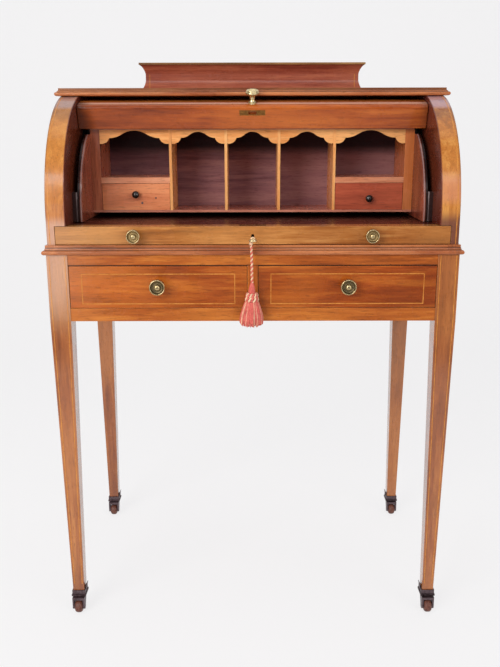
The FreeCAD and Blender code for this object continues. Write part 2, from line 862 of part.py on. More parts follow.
# Upper case: quarter-round cheeks, back, top and gallery
def cheek(side, sign):
    name = "cheek_" + side
    crown_turn = arc_sine((TOP_LOW - AXIS_Z) / CHEEK_RADIUS)
    outline = [
        to(CHEEK_FACE, BED_TOP),
        to(CHEEK_FACE, AXIS_Z),
        bend(polar(CHEEK_RADIUS, crown_turn / 2), (CROWN_Y, TOP_LOW)),
        to(CHEEK_BACK, TOP_LOW),
        to(CHEEK_BACK, BED_TOP),
    ]
    blank = pad(name + "_blank", "YZ_Plane", outline, span(sign, CHEEK_INNER, CHEEK_OUTER))
    notch = board(
        name + "_notch",
        span(sign, CHEEK_INNER - S.overrun, SLIDE_HALF + S.slide_notch_gap),
        (CHEEK_FACE - S.overrun, CHEEK_FACE + S.slide_front + S.slide_notch_gap),
        (BED_TOP - S.overrun, SLIDE_TOP + S.slide_notch_gap),
    )
    hole_x = span(sign, CHEEK_INNER - S.overrun, CHEEK_INNER + S.pivot_grip)
    hole = rod(name + "_hole", "x", S.pivot_radius, hole_x, (AXIS_Y, AXIS_Z))
    return node(name, cut(name, blank, notch, hole))


def upper_case():
    for side, sign in SIDES:
        cheek(side, sign)
    panel = board("back_panel", both(CHEEK_INNER), (PANEL_FACE, CHEEK_BACK), (BED_TOP, TOP_LOW))
    node("back_panel", panel)
    sizes = (S.top_thickness, S.top_reach, S.top_bead, S.top_lip, S.top_lip_height)
    top = mitred(
        "top_board",
        moulded(TOP_FRONT + S.top_reach, -1, TOP_LOW, *sizes),
        moulded(CHEEK_OUTER, 1, TOP_LOW, *sizes),
        CHEEK_OUTER + S.top_reach,
        CHEEK_BACK,
        TOP_LOW,
        TOP_HIGH,
        TOP_FRONT,
    )
    node("top_board", top)
    gallery_face = CHEEK_BACK - S.gallery_depth
    cap_low = TOP_HIGH + S.gallery_height
    front_out = gallery_face - S.gallery_cove
    gallery = mitred(
        "gallery",
        coved(gallery_face, -1, TOP_HIGH),
        coved(S.gallery_half_width, 1, TOP_HIGH),
        S.gallery_half_width + S.gallery_cove,
        CHEEK_BACK,
        TOP_HIGH,
        cap_low,
        front_out,
    )
    node("gallery", gallery)
    cap_half = S.gallery_half_width + S.gallery_cove + S.gallery_cap_lip
    cap_y = (front_out - S.gallery_cap_lip, CHEEK_BACK)
    node("gallery_cap", board("gallery_cap", both(cap_half), cap_y, (cap_low, cap_low + S.gallery_cap)))


# Linings beside the pigeonholes, held off the cheeks by spacers, with the cylinder's pivots
def linings():
    panels = []
    blocks = []
    pins = []
    low_turn = arc_sine((LINING_LOW - AXIS_Z) / LINING_RADIUS)
    high_turn = arc_sine((LINING_HIGH - AXIS_Z) / LINING_RADIUS)
    tail = CASE_END + S.lining_behind
    outline = arc_steps(LINING_RADIUS, low_turn, high_turn)
    outline += [to(tail, LINING_HIGH), to(tail, LINING_LOW)]
    block_face = AXIS_Y - LINING_RADIUS + S.spacer_set
    front_block = (block_face, block_face + S.spacer_depth)
    back_block = (tail - S.spacer_depth, tail)
    block_z = (LINING_LOW, LINING_LOW + S.spacer_height)
    for side, sign in SIDES:
        panel_x = span(sign, LINING_INNER, LINING_OUTER)
        panel = pad(f"lining_{side}_panel", "YZ_Plane", outline, panel_x)
        pin_x = span(sign, LINING_INNER, CHEEK_INNER + S.pivot_grip)
        hole = rod(f"lining_{side}_hole", "x", S.pivot_radius, pin_x, (AXIS_Y, AXIS_Z))
        panels.append(cut("lining_" + side, panel, hole))
        slot_x = span(sign, LINING_OUTER, CHEEK_INNER)
        blocks.append(board(f"spacer_{side}_front", slot_x, front_block, block_z))
        blocks.append(board(f"spacer_{side}_back", slot_x, back_block, block_z))
        pins.append(rod("pivot_" + side, "x", S.pivot_radius, pin_x, (AXIS_Y, AXIS_Z)))
    node("linings", group("linings", panels))
    node("lining_spacers", group("lining_spacers", blocks))
    node("pivot_pins", group("pivot_pins", pins))


# Cylinder fall, drawn open: shell, thick closing edge, two arms on the pivots, knob and strike plate
SHELL_INNER = CYLINDER_RADIUS - S.shell_thickness
CYLINDER_HALF = CHEEK_INNER - S.cylinder_side_gap
CLOSED_DROP = AXIS_Z - SLIDE_TOP - S.closing_gap
OPEN_TURN = angle(S.open_angle)
CLOSING_TURN = OPEN_TURN + arc_sine(CLOSED_DROP / CYLINDER_RADIUS)
EDGE_Y, EDGE_Z = polar(CYLINDER_RADIUS, OPEN_TURN)
LOCK_BACK = CHEEK_FACE + S.slide_front - S.lock_back_wall
BOLT_Y = LOCK_BACK - S.lock_plate - S.bolt_side_gap - S.bolt_thickness / 2
BIT_BACK = BOLT_Y - S.bolt_thickness / 2 - S.bolt_side_gap
BIT_FRONT = BIT_BACK - S.key_bit_room
LOCK_FRONT = BIT_FRONT - S.lock_plate
STRIKE_MIDDLE = BOLT_Y - AXIS_Y + leg_of(CYLINDER_RADIUS, CLOSED_DROP)


def on_edge(along, into):
    """A point of the closing edge: along its flat face from the outside, and up into the wood."""
    run = cosine(CLOSING_TURN)
    rise = sine(CLOSING_TURN)
    return EDGE_Y + along * run + into * rise, EDGE_Z - along * rise + into * run


def sunk(name, half, width, depth):
    """A block let into the closing edge's face, over the bolt."""
    near = STRIKE_MIDDLE - width / 2
    far = STRIKE_MIDDLE + width / 2
    outline = [to(*on_edge(a, i)) for a, i in ((near, ZERO), (far, ZERO), (far, depth), (near, depth))]
    return pad(name, "YZ_Plane", outline, both(half))


def cylinder_fall():
    seam = OPEN_TURN + angle(S.edge_sweep_angle)
    tail = angle(S.tail_angle)
    outside = arc_steps(CYLINDER_RADIUS, seam, tail)
    inside = arc_steps(SHELL_INNER, tail, seam)
    node("cylinder_shell", pad("cylinder_shell", "YZ_Plane", outside + inside, both(CYLINDER_HALF)))
    start, sweep = arc_steps(CYLINDER_RADIUS, OPEN_TURN + arc_sine(S.edge_round / CYLINDER_RADIUS), seam)
    rim = S.edge_round * COVE_SHARES[0]
    outline = [
        bend(on_edge(rim, rim), start.point),
        sweep,
        to(*polar(SHELL_INNER, seam)),
        to(*on_edge(S.edge_depth, S.edge_height)),
        to(*on_edge(S.edge_depth, ZERO)),
        to(*on_edge(S.edge_round, ZERO)),
    ]
    blank = pad("cylinder_edge_blank", "YZ_Plane", outline, both(CYLINDER_HALF))
    slot_half = S.bolt_half_width + S.bolt_side_gap * 2
    slot_width = S.bolt_thickness + S.bolt_side_gap * 4
    seat = sunk("strike_seat", S.strike_half_width, S.strike_width, S.strike_thickness)
    mortise = sunk("strike_mortise", slot_half, slot_width, S.strike_mortise)
    knob_turn = OPEN_TURN + angle(S.cylinder_knob_angle)
    knob_y, knob_z = polar(CYLINDER_RADIUS, knob_turn)
    piece, hole = knob(
        "cylinder_knob",
        MUSHROOM_KNOB_SHARES,
        S.cylinder_knob_radius,
        S.cylinder_knob_reach,
        S.knob_dowel,
        (ZERO, knob_y, knob_z),
        turn=QUARTER_TURN - S.open_angle - S.cylinder_knob_angle,
    )
    node("cylinder_knob", piece)
    node("cylinder_edge", cut("cylinder_edge", blank, seat, mortise, hole))
    plate = sunk("strike_blank", S.strike_half_width, S.strike_width, S.strike_thickness)
    slot = sunk("strike_slot", slot_half, slot_width, S.strike_mortise)
    node("strike_plate", cut("strike_plate", plate, slot))
    arms = []
    start = angle(S.arm_start_angle)
    end = angle(S.arm_end_angle)
    middle = (start + end) / 2
    hub = S.axis_lift - S.arm_slide_gap
    arm = arc_steps(SHELL_INNER, start, end)
    arm.append(to(*polar(hub, end)))
    arm.append(bend(polar(-hub, middle), polar(hub, start)))
    for side, sign in SIDES:
        x = span(sign, LINING_OUTER + S.arm_side_gap, CHEEK_INNER - S.arm_side_gap)
        plate = pad(f"cylinder_arm_{side}_plate", "YZ_Plane", arm, x)
        bore_x = span(sign, LINING_OUTER, CHEEK_INNER)
        bore_radius = S.pivot_radius + S.running_fit
        bore = rod(f"cylinder_arm_{side}_bore", "x", bore_radius, bore_x, (AXIS_Y, AXIS_Z))
        arms.append(cut("cylinder_arm_" + side, plate, bore))
    node("cylinder_arms", group("cylinder_arms", arms))


# Writing slide with its lock, key and bolt
def writing_slide():
    front_y = (CHEEK_FACE, CHEEK_FACE + S.slide_front)
    front_z = (BED_TOP + S.slide_foot_gap, SLIDE_TOP)
    blank = board("slide_front_blank", both(SLIDE_HALF), front_y, front_z)
    lock_z = (LOCK_LOW, SLIDE_TOP)
    pocket = board("slide_lock_pocket", both(S.lock_half_width), (LOCK_FRONT, LOCK_BACK), lock_z)
    to_lock = (CHEEK_FACE - S.overrun, LOCK_FRONT)
    hole_high = KEY_Z + S.keyhole_rise
    keyhole = fuse(
        "slide_keyhole",
        rod("slide_keyhole_foot", "y", S.keyhole_radius, to_lock, (ZERO, KEY_Z)),
        board("slide_keyhole_middle", both(S.keyhole_radius), to_lock, (KEY_Z, hole_high)),
        rod("slide_keyhole_head", "y", S.keyhole_radius, to_lock, (ZERO, hole_high)),
    )
    slot_z = (KEY_Z - S.keyhole_drop, KEY_Z)
    slot = board("slide_keyhole_slot", both(S.keyhole_slot / 2), to_lock, slot_z)
    half = CHEEK_INNER - S.cylinder_side_gap
    panel_y = (front_y[1], PANEL_FACE - S.slide_back_room)
    panel_low = SLIDE_TOP - S.slide_panel
    bearer_z = (BED_TOP + S.sliding_gap, panel_low)
    boards = [board("slide_top", both(half), panel_y, (panel_low, SLIDE_TOP))]
    knobs = []
    holes = []
    for side, sign in SIDES:
        bearer_x = span(sign, half - S.slide_bearer, half)
        boards.append(board("slide_bearer_" + side, bearer_x, panel_y, bearer_z))
        piece, hole = knob(
            "slide_knob_" + side,
            BRASS_KNOB_SHARES,
            S.slide_knob_radius,
            S.slide_knob_reach,
            S.knob_dowel,
            (S.slide_knob_half_span * sign, CHEEK_FACE, (front_z[0] + front_z[1]) / 2),
        )
        knobs.append(piece)
        holes.append(hole)
    node("slide_front", cut("slide_front", blank, pocket, keyhole, slot, *holes))
    node("slide_panel", group("slide_panel", boards))
    node("slide_knobs", group("slide_knobs", knobs))
    case = board("lock_case_blank", both(S.lock_half_width), (LOCK_FRONT, LOCK_BACK), lock_z)
    bolt_low = SLIDE_TOP - S.bolt_sink - S.bolt_height
    bolt_y = (BOLT_Y - S.bolt_thickness / 2, BOLT_Y + S.bolt_thickness / 2)
    channel = board(
        "lock_channel",
        both(S.bolt_half_width + S.bolt_side_gap),
        (bolt_y[0] - S.bolt_side_gap, bolt_y[1] + S.bolt_side_gap),
        (bolt_low - S.sliding_gap, SLIDE_TOP + S.overrun),
    )
    bit_y = (BIT_FRONT, BIT_BACK)
    room = rod("lock_bit_room", "y", S.key_bit_room_radius, bit_y, (ZERO, KEY_Z))
    throat_y = (LOCK_FRONT - S.overrun, BIT_FRONT)
    throat = rod("lock_throat", "y", S.key_shank_radius + S.running_fit, throat_y, (ZERO, KEY_Z))
    way_in = board("lock_way_in", both(S.keyhole_slot / 2), throat_y, slot_z)
    node("slide_lock", cut("slide_lock", case, channel, room, throat, way_in))
    bolt_z = (bolt_low, SLIDE_TOP - S.bolt_sink)
    node("lock_bolt", board("lock_bolt", both(S.bolt_half_width), bolt_y, bolt_z))
    tip = (BIT_FRONT + BIT_BACK + S.key_bit) / 2
    bow_y = CHEEK_FACE - S.key_shank_reach - S.bow_radius - S.bow_bar_radius
    shank = rod("key_shank", "y", S.key_shank_radius, (bow_y + S.bow_radius, tip), (ZERO, KEY_Z))
    bit = board(
        "key_bit",
        (ZERO, S.key_bit_length),
        (tip - S.key_bit, tip),
        (KEY_Z - S.key_bit_width / 2, KEY_Z + S.key_bit_width / 2),
    )
    bow = ring("key_bow", S.bow_radius, S.bow_bar_radius, (ZERO, bow_y, KEY_Z))
    node("key", fuse("key", shank, bit, bow))


# Tassel: a cord looped round the key's neck, a bound head with a ruff, and a skirt
TASSEL_Y = CHEEK_FACE - S.tassel_reach
LOOP_RADIUS = S.key_shank_radius + S.sliding_gap + S.cord_radius
CORD_TOP = KEY_Z - LOOP_RADIUS
HEAD_TOP = CORD_TOP - S.cord_length
RUFF_TOP = HEAD_TOP - S.head_height
SKIRT_TOP = RUFF_TOP - S.ruff_height
SKIRT_LOW = SKIRT_TOP - S.skirt_height


def oval(name, z, half_width, half_depth):
    """A level ellipse about the tassel's line."""
    curve = DOC.addObject("Part::Ellipse", name)
    bind(curve, "MajorRadius", half_width)
    bind(curve, "MinorRadius", half_depth)
    bind(curve, "Placement.Base.y", TASSEL_Y)
    bind(curve, "Placement.Base.z", z)
    return curve


def tassel():
    loop = ring("tassel_loop", LOOP_RADIUS, S.cord_radius, (ZERO, TASSEL_Y, KEY_Z), turn=QUARTER_TURN)
    line = rod("tassel_line", "z", S.cord_radius, (HEAD_TOP, CORD_TOP), (ZERO, TASSEL_Y))
    node("tassel_cord", fuse("tassel_cord", loop, line))
    top = S.ruff_height + S.head_height
    head = [
        to(ZERO, ZERO),
        to(S.ruff_foot_radius, ZERO),
        bend((S.ruff_radius, S.ruff_height * HALF_SHARE), (S.head_radius, S.ruff_height)),
        to(S.cord_radius, top),
        to(ZERO, top),
    ]
    node("tassel_head", turned("tassel_head", head, (ZERO, TASSEL_Y, SKIRT_TOP), turn=ZERO))
    neck = oval("skirt_neck", SKIRT_TOP, S.skirt_neck_half_width, S.skirt_neck_half_depth)
    hem = oval("skirt_hem", SKIRT_LOW, S.skirt_half_width, S.skirt_half_depth)
    skirt = DOC.addObject("Part::Loft", "tassel_skirt")
    skirt.Sections = [neck, hem]
    skirt.Solid = True
    skirt.Ruled = True
    node("tassel_skirt", skirt)


# Pigeonhole case with its arches and two small drawers
def arch(name, low, high, rise):
    """A board cut to a lobe at each end and an ogee from each lobe up to the crown."""
    across, along = LOBE_SHARES
    spring = CASE_TOP_LOW - S.arch_height
    lobe_z = spring + S.arch_lobe_rise
    lobe_via = spring + S.arch_lobe_rise * along
    crown = spring + rise
    half = (high - low) / 2 - S.arch_lobe
    first = low + S.arch_lobe
    last = high - S.arch_lobe
    ogee_via = (half * OGEE_MIDDLE_SHARES[0], lobe_z + (crown - lobe_z) * OGEE_MIDDLE_SHARES[1])
    turn = (half * OGEE_TURN_SHARES[0], lobe_z + (crown - lobe_z) * OGEE_TURN_SHARES[1])
    outline = [
        to(low, spring),
        bend((low + S.arch_lobe * across, lobe_via), (first, lobe_z)),
        bend((first + ogee_via[0], ogee_via[1]), (first + turn[0], turn[1])),
        bend(((low + high) / 2, crown), (last - turn[0], turn[1])),
        bend((last - ogee_via[0], ogee_via[1]), (last, lobe_z)),
        bend((high - S.arch_lobe * across, lobe_via), (high, spring)),
        to(high, CASE_TOP_LOW),
        to(low, CASE_TOP_LOW),
    ]
    face = CASE_FRONT + S.arch_set
    return pad(name, "XZ_Plane", outline, (face, face + S.arch_thickness))


def pigeonholes():
    case_y = (CASE_FRONT, CASE_END)
    inner_y = (CASE_FRONT, CASE_BACK_FACE)
    upright = (CASE_FLOOR_TOP, CASE_TOP_LOW)
    floor = board("case_floor", both(LINING_INNER), case_y, (CASE_LOW, CASE_FLOOR_TOP))
    top = board("case_top", both(LINING_INNER), case_y, (CASE_TOP_LOW, CASE_HIGH))
    node("case_boards", group("case_boards", [floor, top]))
    node("case_back", board("case_back", both(CASE_INNER), (CASE_BACK_FACE, CASE_END), upright))
    half = S.divider_thickness / 2
    shelf_low = CASE_FLOOR_TOP + S.shelf_rise
    shelf_z = (shelf_low, shelf_low + S.shelf_thickness)
    sides = []
    partitions = []
    arches = [arch("arch_centre", -S.inner_divider + half, S.inner_divider - half, S.arch_narrow_rise)]
    for side, sign in SIDES:
        sides.append(board("case_side_" + side, span(sign, CASE_INNER, LINING_INNER), case_y, upright))
        for place, line in (("inner", S.inner_divider), ("outer", S.outer_divider)):
            x = span(sign, line - half, line + half)
            partitions.append(board(f"divider_{place}_{side}", x, inner_y, upright))
        bay = span(sign, S.outer_divider + half, CASE_INNER)
        partitions.append(board("shelf_" + side, bay, inner_y, shelf_z))
        arches.append(arch("arch_wide_" + side, *bay, S.arch_wide_rise))
        narrow = span(sign, S.inner_divider + half, S.outer_divider - half)
        arches.append(arch("arch_narrow_" + side, *narrow, S.arch_narrow_rise))
        small_drawer(side, bay, shelf_low)
    node("case_sides", group("case_sides", sides))
    node("case_partitions", group("case_partitions", partitions))
    node("case_arches", group("case_arches", arches))


def small_drawer(side, bay, ceiling):
    name = "small_drawer_" + side
    x = (bay[0] + S.small_gap, bay[1] - S.small_gap)
    face = CASE_FRONT + S.arch_set
    face_back = face + S.small_front
    z = (CASE_FLOOR_TOP + S.sliding_gap, ceiling - S.small_gap)
    lift = S.small_knob_left_lift if side == "left" else S.small_knob_right_lift
    piece, hole = knob(
        name + "_knob",
        BALL_KNOB_SHARES,
        S.small_knob_radius,
        S.small_knob_reach,
        S.small_knob_dowel,
        ((x[0] + x[1]) / 2, face, (z[0] + z[1]) / 2 + lift),
    )
    node(name + "_knob", piece)
    blank = board(name + "_front_blank", x, (face, face_back), z)
    node(name + "_front", cut(name + "_front", blank, hole))
    box_y = (face_back, CASE_BACK_FACE - S.small_back_room)
    box_z = (z[0], z[1] - S.small_headroom)
    boards = drawer_box(name, x, box_y, box_z, S.small_side, S.small_bottom, ZERO)
    node(name + "_box", group(name + "_box", boards))


def check_document():
    """Stop if any object failed, or a piece is empty, open or broken."""
    for thing in DOC.Objects:
        if "Invalid" in thing.State or "Error" in thing.State:
            raise SystemExit(f"{thing.Label} failed: {thing.State}")
    for name, piece in NODES.items():
        shape = piece.Shape
        if shape.isNull() or not shape.isValid() or not shape.Solids:
            raise SystemExit(f"{name} has no sound shape")


def export():
    os.makedirs("parts", exist_ok=True)
    for name, piece in NODES.items():
        piece.Shape.exportStep(f"parts/{name}.step")


stand()
frieze()
drawers()
bed()
upper_case()
linings()
cylinder_fall()
writing_slide()
tassel()
pigeonholes()
DOC.recompute()
check_document()
export()
print(len(NODES), "pieces, closing turn", round(CLOSING_TURN.value, 2), "degrees")
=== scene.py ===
import math
import random

import bpy
from mathutils import Matrix, Vector


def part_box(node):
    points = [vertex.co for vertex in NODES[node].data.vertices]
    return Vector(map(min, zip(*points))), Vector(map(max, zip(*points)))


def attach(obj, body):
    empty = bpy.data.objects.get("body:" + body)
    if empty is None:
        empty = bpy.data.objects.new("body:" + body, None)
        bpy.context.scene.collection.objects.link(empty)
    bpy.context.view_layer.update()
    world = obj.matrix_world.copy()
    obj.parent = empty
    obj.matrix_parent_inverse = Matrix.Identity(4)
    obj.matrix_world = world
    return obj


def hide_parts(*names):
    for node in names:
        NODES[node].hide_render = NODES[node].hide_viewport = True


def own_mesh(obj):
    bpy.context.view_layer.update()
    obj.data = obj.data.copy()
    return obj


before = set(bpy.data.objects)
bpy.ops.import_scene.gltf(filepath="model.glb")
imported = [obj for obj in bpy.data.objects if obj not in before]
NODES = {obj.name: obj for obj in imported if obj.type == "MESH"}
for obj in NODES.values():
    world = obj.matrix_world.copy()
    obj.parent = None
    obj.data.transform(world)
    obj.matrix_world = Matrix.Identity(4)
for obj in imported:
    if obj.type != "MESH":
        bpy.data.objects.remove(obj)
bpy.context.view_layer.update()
SCENE = bpy.context.scene
SIDES = (("left", -1), ("right", 1))
X, Y, Z = range(3)
FRONTWARD = Vector((0, -1, 0))


def mm(*values):
    return Vector(value * 0.001 for value in values)


def link_object(name, data):
    thing = bpy.data.objects.new(name, data)
    SCENE.collection.objects.link(thing)
    return thing


# Camera at the photograph's viewpoint
LENS_MM = 42.23
SENSOR_MM = 36.0
CAMERA_PLACE = mm(-3.73, -1534.24, 899.26)
CAMERA_ASIDE = 0.001
CAMERA_RISE = math.radians(90 - 14.394)
CAMERA_ROLL = -0.0021


def make_camera():
    data = bpy.data.cameras.new("camera")
    data.lens = LENS_MM
    data.sensor_width = SENSOR_MM
    camera = link_object("camera", data)
    turn = Matrix.Rotation(CAMERA_ASIDE, 4, "Z") @ Matrix.Rotation(CAMERA_RISE, 4, "X")
    roll = Matrix.Rotation(CAMERA_ROLL, 4, "Z")
    camera.matrix_world = Matrix.Translation(CAMERA_PLACE) @ turn @ roll
    SCENE.camera = camera


# Meshes from rings of points and from strips
def new_mesh(name, points, faces, body, materials, face_slots=None, smooth=True):
    mesh = bpy.data.meshes.new(name)
    mesh.from_pydata([tuple(p) for p in points], [], faces)
    for material in materials:
        mesh.materials.append(material)
    mesh.polygons.foreach_set("use_smooth", [smooth] * len(mesh.polygons))
    if face_slots:
        mesh.polygons.foreach_set("material_index", face_slots)
    mesh.update()
    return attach(link_object(name, mesh), body)


def bridge(first, second, count):
    """Faces between two closed rings of points that start at the given numbers."""
    faces = []
    for i in range(count):
        after = (i + 1) % count
        faces.append((first + i, first + after, second + after, second + i))
    return faces


class Tubes:
    """Many tubes gathered into one mesh, each with a material slot."""

    def __init__(self):
        self.points = []
        self.faces = []
        self.slots = []

    def add(self, rings, slot):
        start = len(self.points)
        count = len(rings[0])
        last = start + (len(rings) - 1) * count
        for ring in rings:
            self.points += ring
        faces = []
        for first in range(start, last, count):
            faces += bridge(first, first + count, count)
        faces.append(tuple(range(start + count - 1, start - 1, -1)))
        faces.append(tuple(range(last, last + count)))
        self.faces += faces
        self.slots += [slot] * len(faces)

    def piece(self, name, body, materials):
        return new_mesh(name, self.points, self.faces, body, materials, self.slots)


def frames_along(line):
    """Each point of a line with two directions across it, carried along without twisting."""
    out = []
    side = None
    for i, point in enumerate(line):
        ahead = line[min(i + 1, len(line) - 1)]
        behind = line[max(i - 1, 0)]
        along = (ahead - behind).normalized()
        if side is None:
            side = along.orthogonal().normalized()
        side = (side - along * side.dot(along)).normalized()
        out.append((point, side, along.cross(side)))
    return out


def tube_rings(line, radius, sides, lobes, lobe_depth, lobe_turns):
    """Rings round a line; their lobes turn along it, so that it looks laid up from yarns."""
    rings = []
    for i, (point, side, up) in enumerate(frames_along(line)):
        lay = 2 * math.pi * lobe_turns * i / (len(line) - 1)
        ring = []
        for k in range(sides):
            turn = 2 * math.pi * k / sides
            swell = 1 + lobe_depth * math.cos(lobes * turn + lay)
            ring.append(point + (side * math.cos(turn) + up * math.sin(turn)) * radius * swell)
        rings.append(ring)
    return rings


def smooth_line(name, controls):
    """Points along the smooth NURBS line of a route's control points."""
    curve = bpy.data.curves.new(name, "CURVE")
    curve.dimensions = "3D"
    curve.resolution_u = 16
    spline = curve.splines.new("NURBS")
    spline.points.add(len(controls) - 1)
    for target, point in zip(spline.points, controls):
        target.co = (*point, 1.0)
    spline.order_u = 3
    spline.use_endpoint_u = True
    holder = link_object(name, curve)
    mesh = bpy.data.meshes.new_from_object(holder)
    line = [vertex.co.copy() for vertex in mesh.vertices]
    bpy.data.objects.remove(holder)
    bpy.data.meshes.remove(mesh)
    bpy.data.curves.remove(curve)
    return line


def even_line(line, step):
    """The same line with points an even step apart."""
    lengths = [0.0]
    for a, b in zip(line, line[1:]):
        lengths.append(lengths[-1] + (b - a).length)
    count = max(2, round(lengths[-1] / step))
    out = []
    place = 0
    for i in range(count + 1):
        want = lengths[-1] * i / count
        while place < len(line) - 2 and lengths[place + 1] < want:
            place += 1
        share = (want - lengths[place]) / max(lengths[place + 1] - lengths[place], 1e-9)
        out.append(line[place].lerp(line[place + 1], min(max(share, 0.0), 1.0)))
    return out


# Materials
def tone(red, green, blue):
    """A colour as it looks on screen, made linear."""
    def linear(value):
        value /= 255
        return value / 12.92 if value <= 0.04045 else ((value + 0.055) / 1.055) ** 2.4

    return (linear(red), linear(green), linear(blue), 1.0)


class Graph:
    """One node material and short names for the nodes that it uses."""

    def __init__(self, name, **settings):
        self.material = bpy.data.materials.new(name)
        self.material.use_nodes = True
        self.tree = self.material.node_tree
        self.shader = self.tree.nodes["Principled BSDF"]
        for socket, value in settings.items():
            self.shader.inputs[socket.replace("_", " ")].default_value = value

    def add(self, kind, settings=(), **inputs):
        """A node with its settings and inputs; an input given as _2 goes by its number."""
        node = self.tree.nodes.new("ShaderNode" + kind)
        for name, value in dict(settings).items():
            setattr(node, name, value)
        for name, value in inputs.items():
            self.feed(node.inputs[int(name[1:]) if name[1:].isdigit() else name], value)
        return node

    def feed(self, socket, value):
        if isinstance(value, bpy.types.NodeSocket):
            self.tree.links.new(value, socket)
        else:
            socket.default_value = value

    def math(self, operation, first, second=0.0):
        return self.add("Math", {"operation": operation}, _0=first, _1=second).outputs[0]

    def vector(self, operation, first, second):
        return self.add("VectorMath", {"operation": operation}, _0=first, _1=second).outputs[0]

    def mix(self, share, first, second):
        """Two colours mixed."""
        return self.add("Mix", {"data_type": "RGBA"}, _0=share, _6=first, _7=second).outputs[2]

    def blend(self, share, first, second):
        """Two numbers mixed."""
        return self.add("Mix", {}, _0=share, _2=first, _3=second).outputs[0]

    def noise(self, place, scale, detail=3.0, roughness=0.55, distortion=0.0):
        node = self.add("TexNoise", Vector=place, Scale=scale, Detail=detail)
        node.inputs["Roughness"].default_value = roughness
        node.inputs["Distortion"].default_value = distortion
        return node.outputs[0]

    def ramp(self, value, stops):
        node = self.add("ValToRGB", Fac=value)
        elements = node.color_ramp.elements
        while len(elements) < len(stops):
            elements.new(0.5)
        for element, (position, colour) in zip(elements, stops):
            element.position = position
            element.color = colour
        return node.outputs[0]

    def span(self, value, low, high, first=0.0, last=1.0):
        """A number carried smoothly from one range to another, held at its ends."""
        node = self.add("MapRange", {"interpolation_type": "SMOOTHSTEP"}, Value=value)
        for name, number in zip(("From Min", "From Max", "To Min", "To Max"), (low, high, first, last)):
            node.inputs[name].default_value = number
        return node.outputs[0]

    def place(self):
        """Place on the object in metres, shifted by a different amount on each object."""
        shift = self.add("VectorMath", {"operation": "SCALE"}, _0=(3.1, 7.7, 5.3))
        self.feed(shift.inputs["Scale"], self.add("ObjectInfo").outputs["Random"])
        return self.vector("ADD", self.add("TexCoord").outputs["Object"], shift.outputs[0])

    def bump(self, height, strength, distance, **inputs):
        """The surface's direction with fine relief on it."""
        node = self.add("Bump", Height=height, **inputs)
        node.inputs["Strength"].default_value = strength
        node.inputs["Distance"].default_value = distance
        return node.outputs[0]

    def finish(self, **links):
        for socket, value in links.items():
            self.tree.links.new(value, self.shader.inputs[socket.replace("_", " ")])
        return self.material


# Place is squeezed along the grain, which draws the noise out into fibres
GRAIN_SCALES = {"X": (0.08, 1.0, 1.0), "Y": (1.0, 0.08, 1.0), "Z": (1.0, 1.0, 0.08)}
# Each wood's dark, middle and light tone and the radius of its rounded edges
WOOD_TONES = {
    "case": (tone(110, 48, 14), tone(168, 84, 28), tone(206, 124, 50), 0.0011),
    "moulding": (tone(104, 48, 22), tone(160, 84, 44), tone(204, 128, 78), 0.0014),
    "drawer": (tone(108, 42, 9), tone(166, 75, 20), tone(210, 120, 44), 0.0009),
    "leg": (tone(112, 54, 20), tone(158, 86, 36), tone(190, 120, 60), 0.0012),
    "cheek": (tone(122, 58, 18), tone(180, 102, 36), tone(216, 150, 76), 0.0013),
    "golden": (tone(108, 58, 20), tone(166, 98, 40), tone(214, 150, 84), 0.0011),
    "red": (tone(106, 44, 32), tone(152, 72, 52), tone(184, 104, 74), 0.0011),
    "cap": (tone(96, 62, 34), tone(140, 96, 54), tone(178, 134, 80), 0.0012),
    "edge": (tone(112, 42, 10), tone(168, 76, 20), tone(200, 106, 36), 0.0020),
    # The slide panel's dark tones are painted shade from the pigeonhole case above it
    "panel": (tone(40, 13, 10), tone(68, 26, 20), tone(92, 40, 32), 0.0010),
    "lining": (tone(86, 34, 24), tone(142, 68, 50), tone(174, 93, 68), 0.0014),
    "shadow": (tone(24, 14, 14), tone(40, 23, 22), tone(58, 34, 32), 0.0010),
    "hole": (tone(88, 57, 64), tone(134, 95, 101), tone(166, 121, 121), 0.0005),
    "inside": (tone(190, 112, 56), tone(238, 158, 90), tone(250, 190, 124), 0.0006),
    "board": (tone(140, 78, 62), tone(192, 118, 96), tone(214, 144, 120), 0.0006),
    "shelf": (tone(170, 98, 66), tone(221, 140, 102), tone(238, 168, 130), 0.0006),
    "case_side": (tone(126, 62, 40), tone(178, 96, 66), tone(206, 126, 92), 0.0007),
    "small": (tone(166, 84, 54), tone(214, 120, 78), tone(236, 150, 102), 0.0007),
    "small_red": (tone(130, 48, 30), tone(178, 77, 51), tone(204, 102, 68), 0.0007),
    "plain": (tone(128, 82, 50), tone(172, 122, 80), tone(196, 148, 104), 0.0006),
}
# Weight, roughness and refraction of the polish on some woods and on the rest
THIN_POLISH = (0.42, 0.14, 1.5)
POLISH = {
    "leg": (1.0, 0.12, 1.6),
    "edge": (0.45, 0.10, 1.5),
    "hole": (0.0, 0.30, 1.5),
    "inside": (0.1, 0.20, 1.5),
    "plain": (0.0, 0.30, 1.5),
    "panel": (0.0, 0.2, 1.5),
    "small": (0.2, 0.2, 1.5),
}
POLISHED_SPECULAR = 0.2
BARE_SPECULAR = 0.06
WOODS = {}


def shade(colour, share, lift=0.0):
    """A colour made darker or lighter."""
    return tuple(min(1.0, c * share + lift) for c in colour[:3]) + (1.0,)


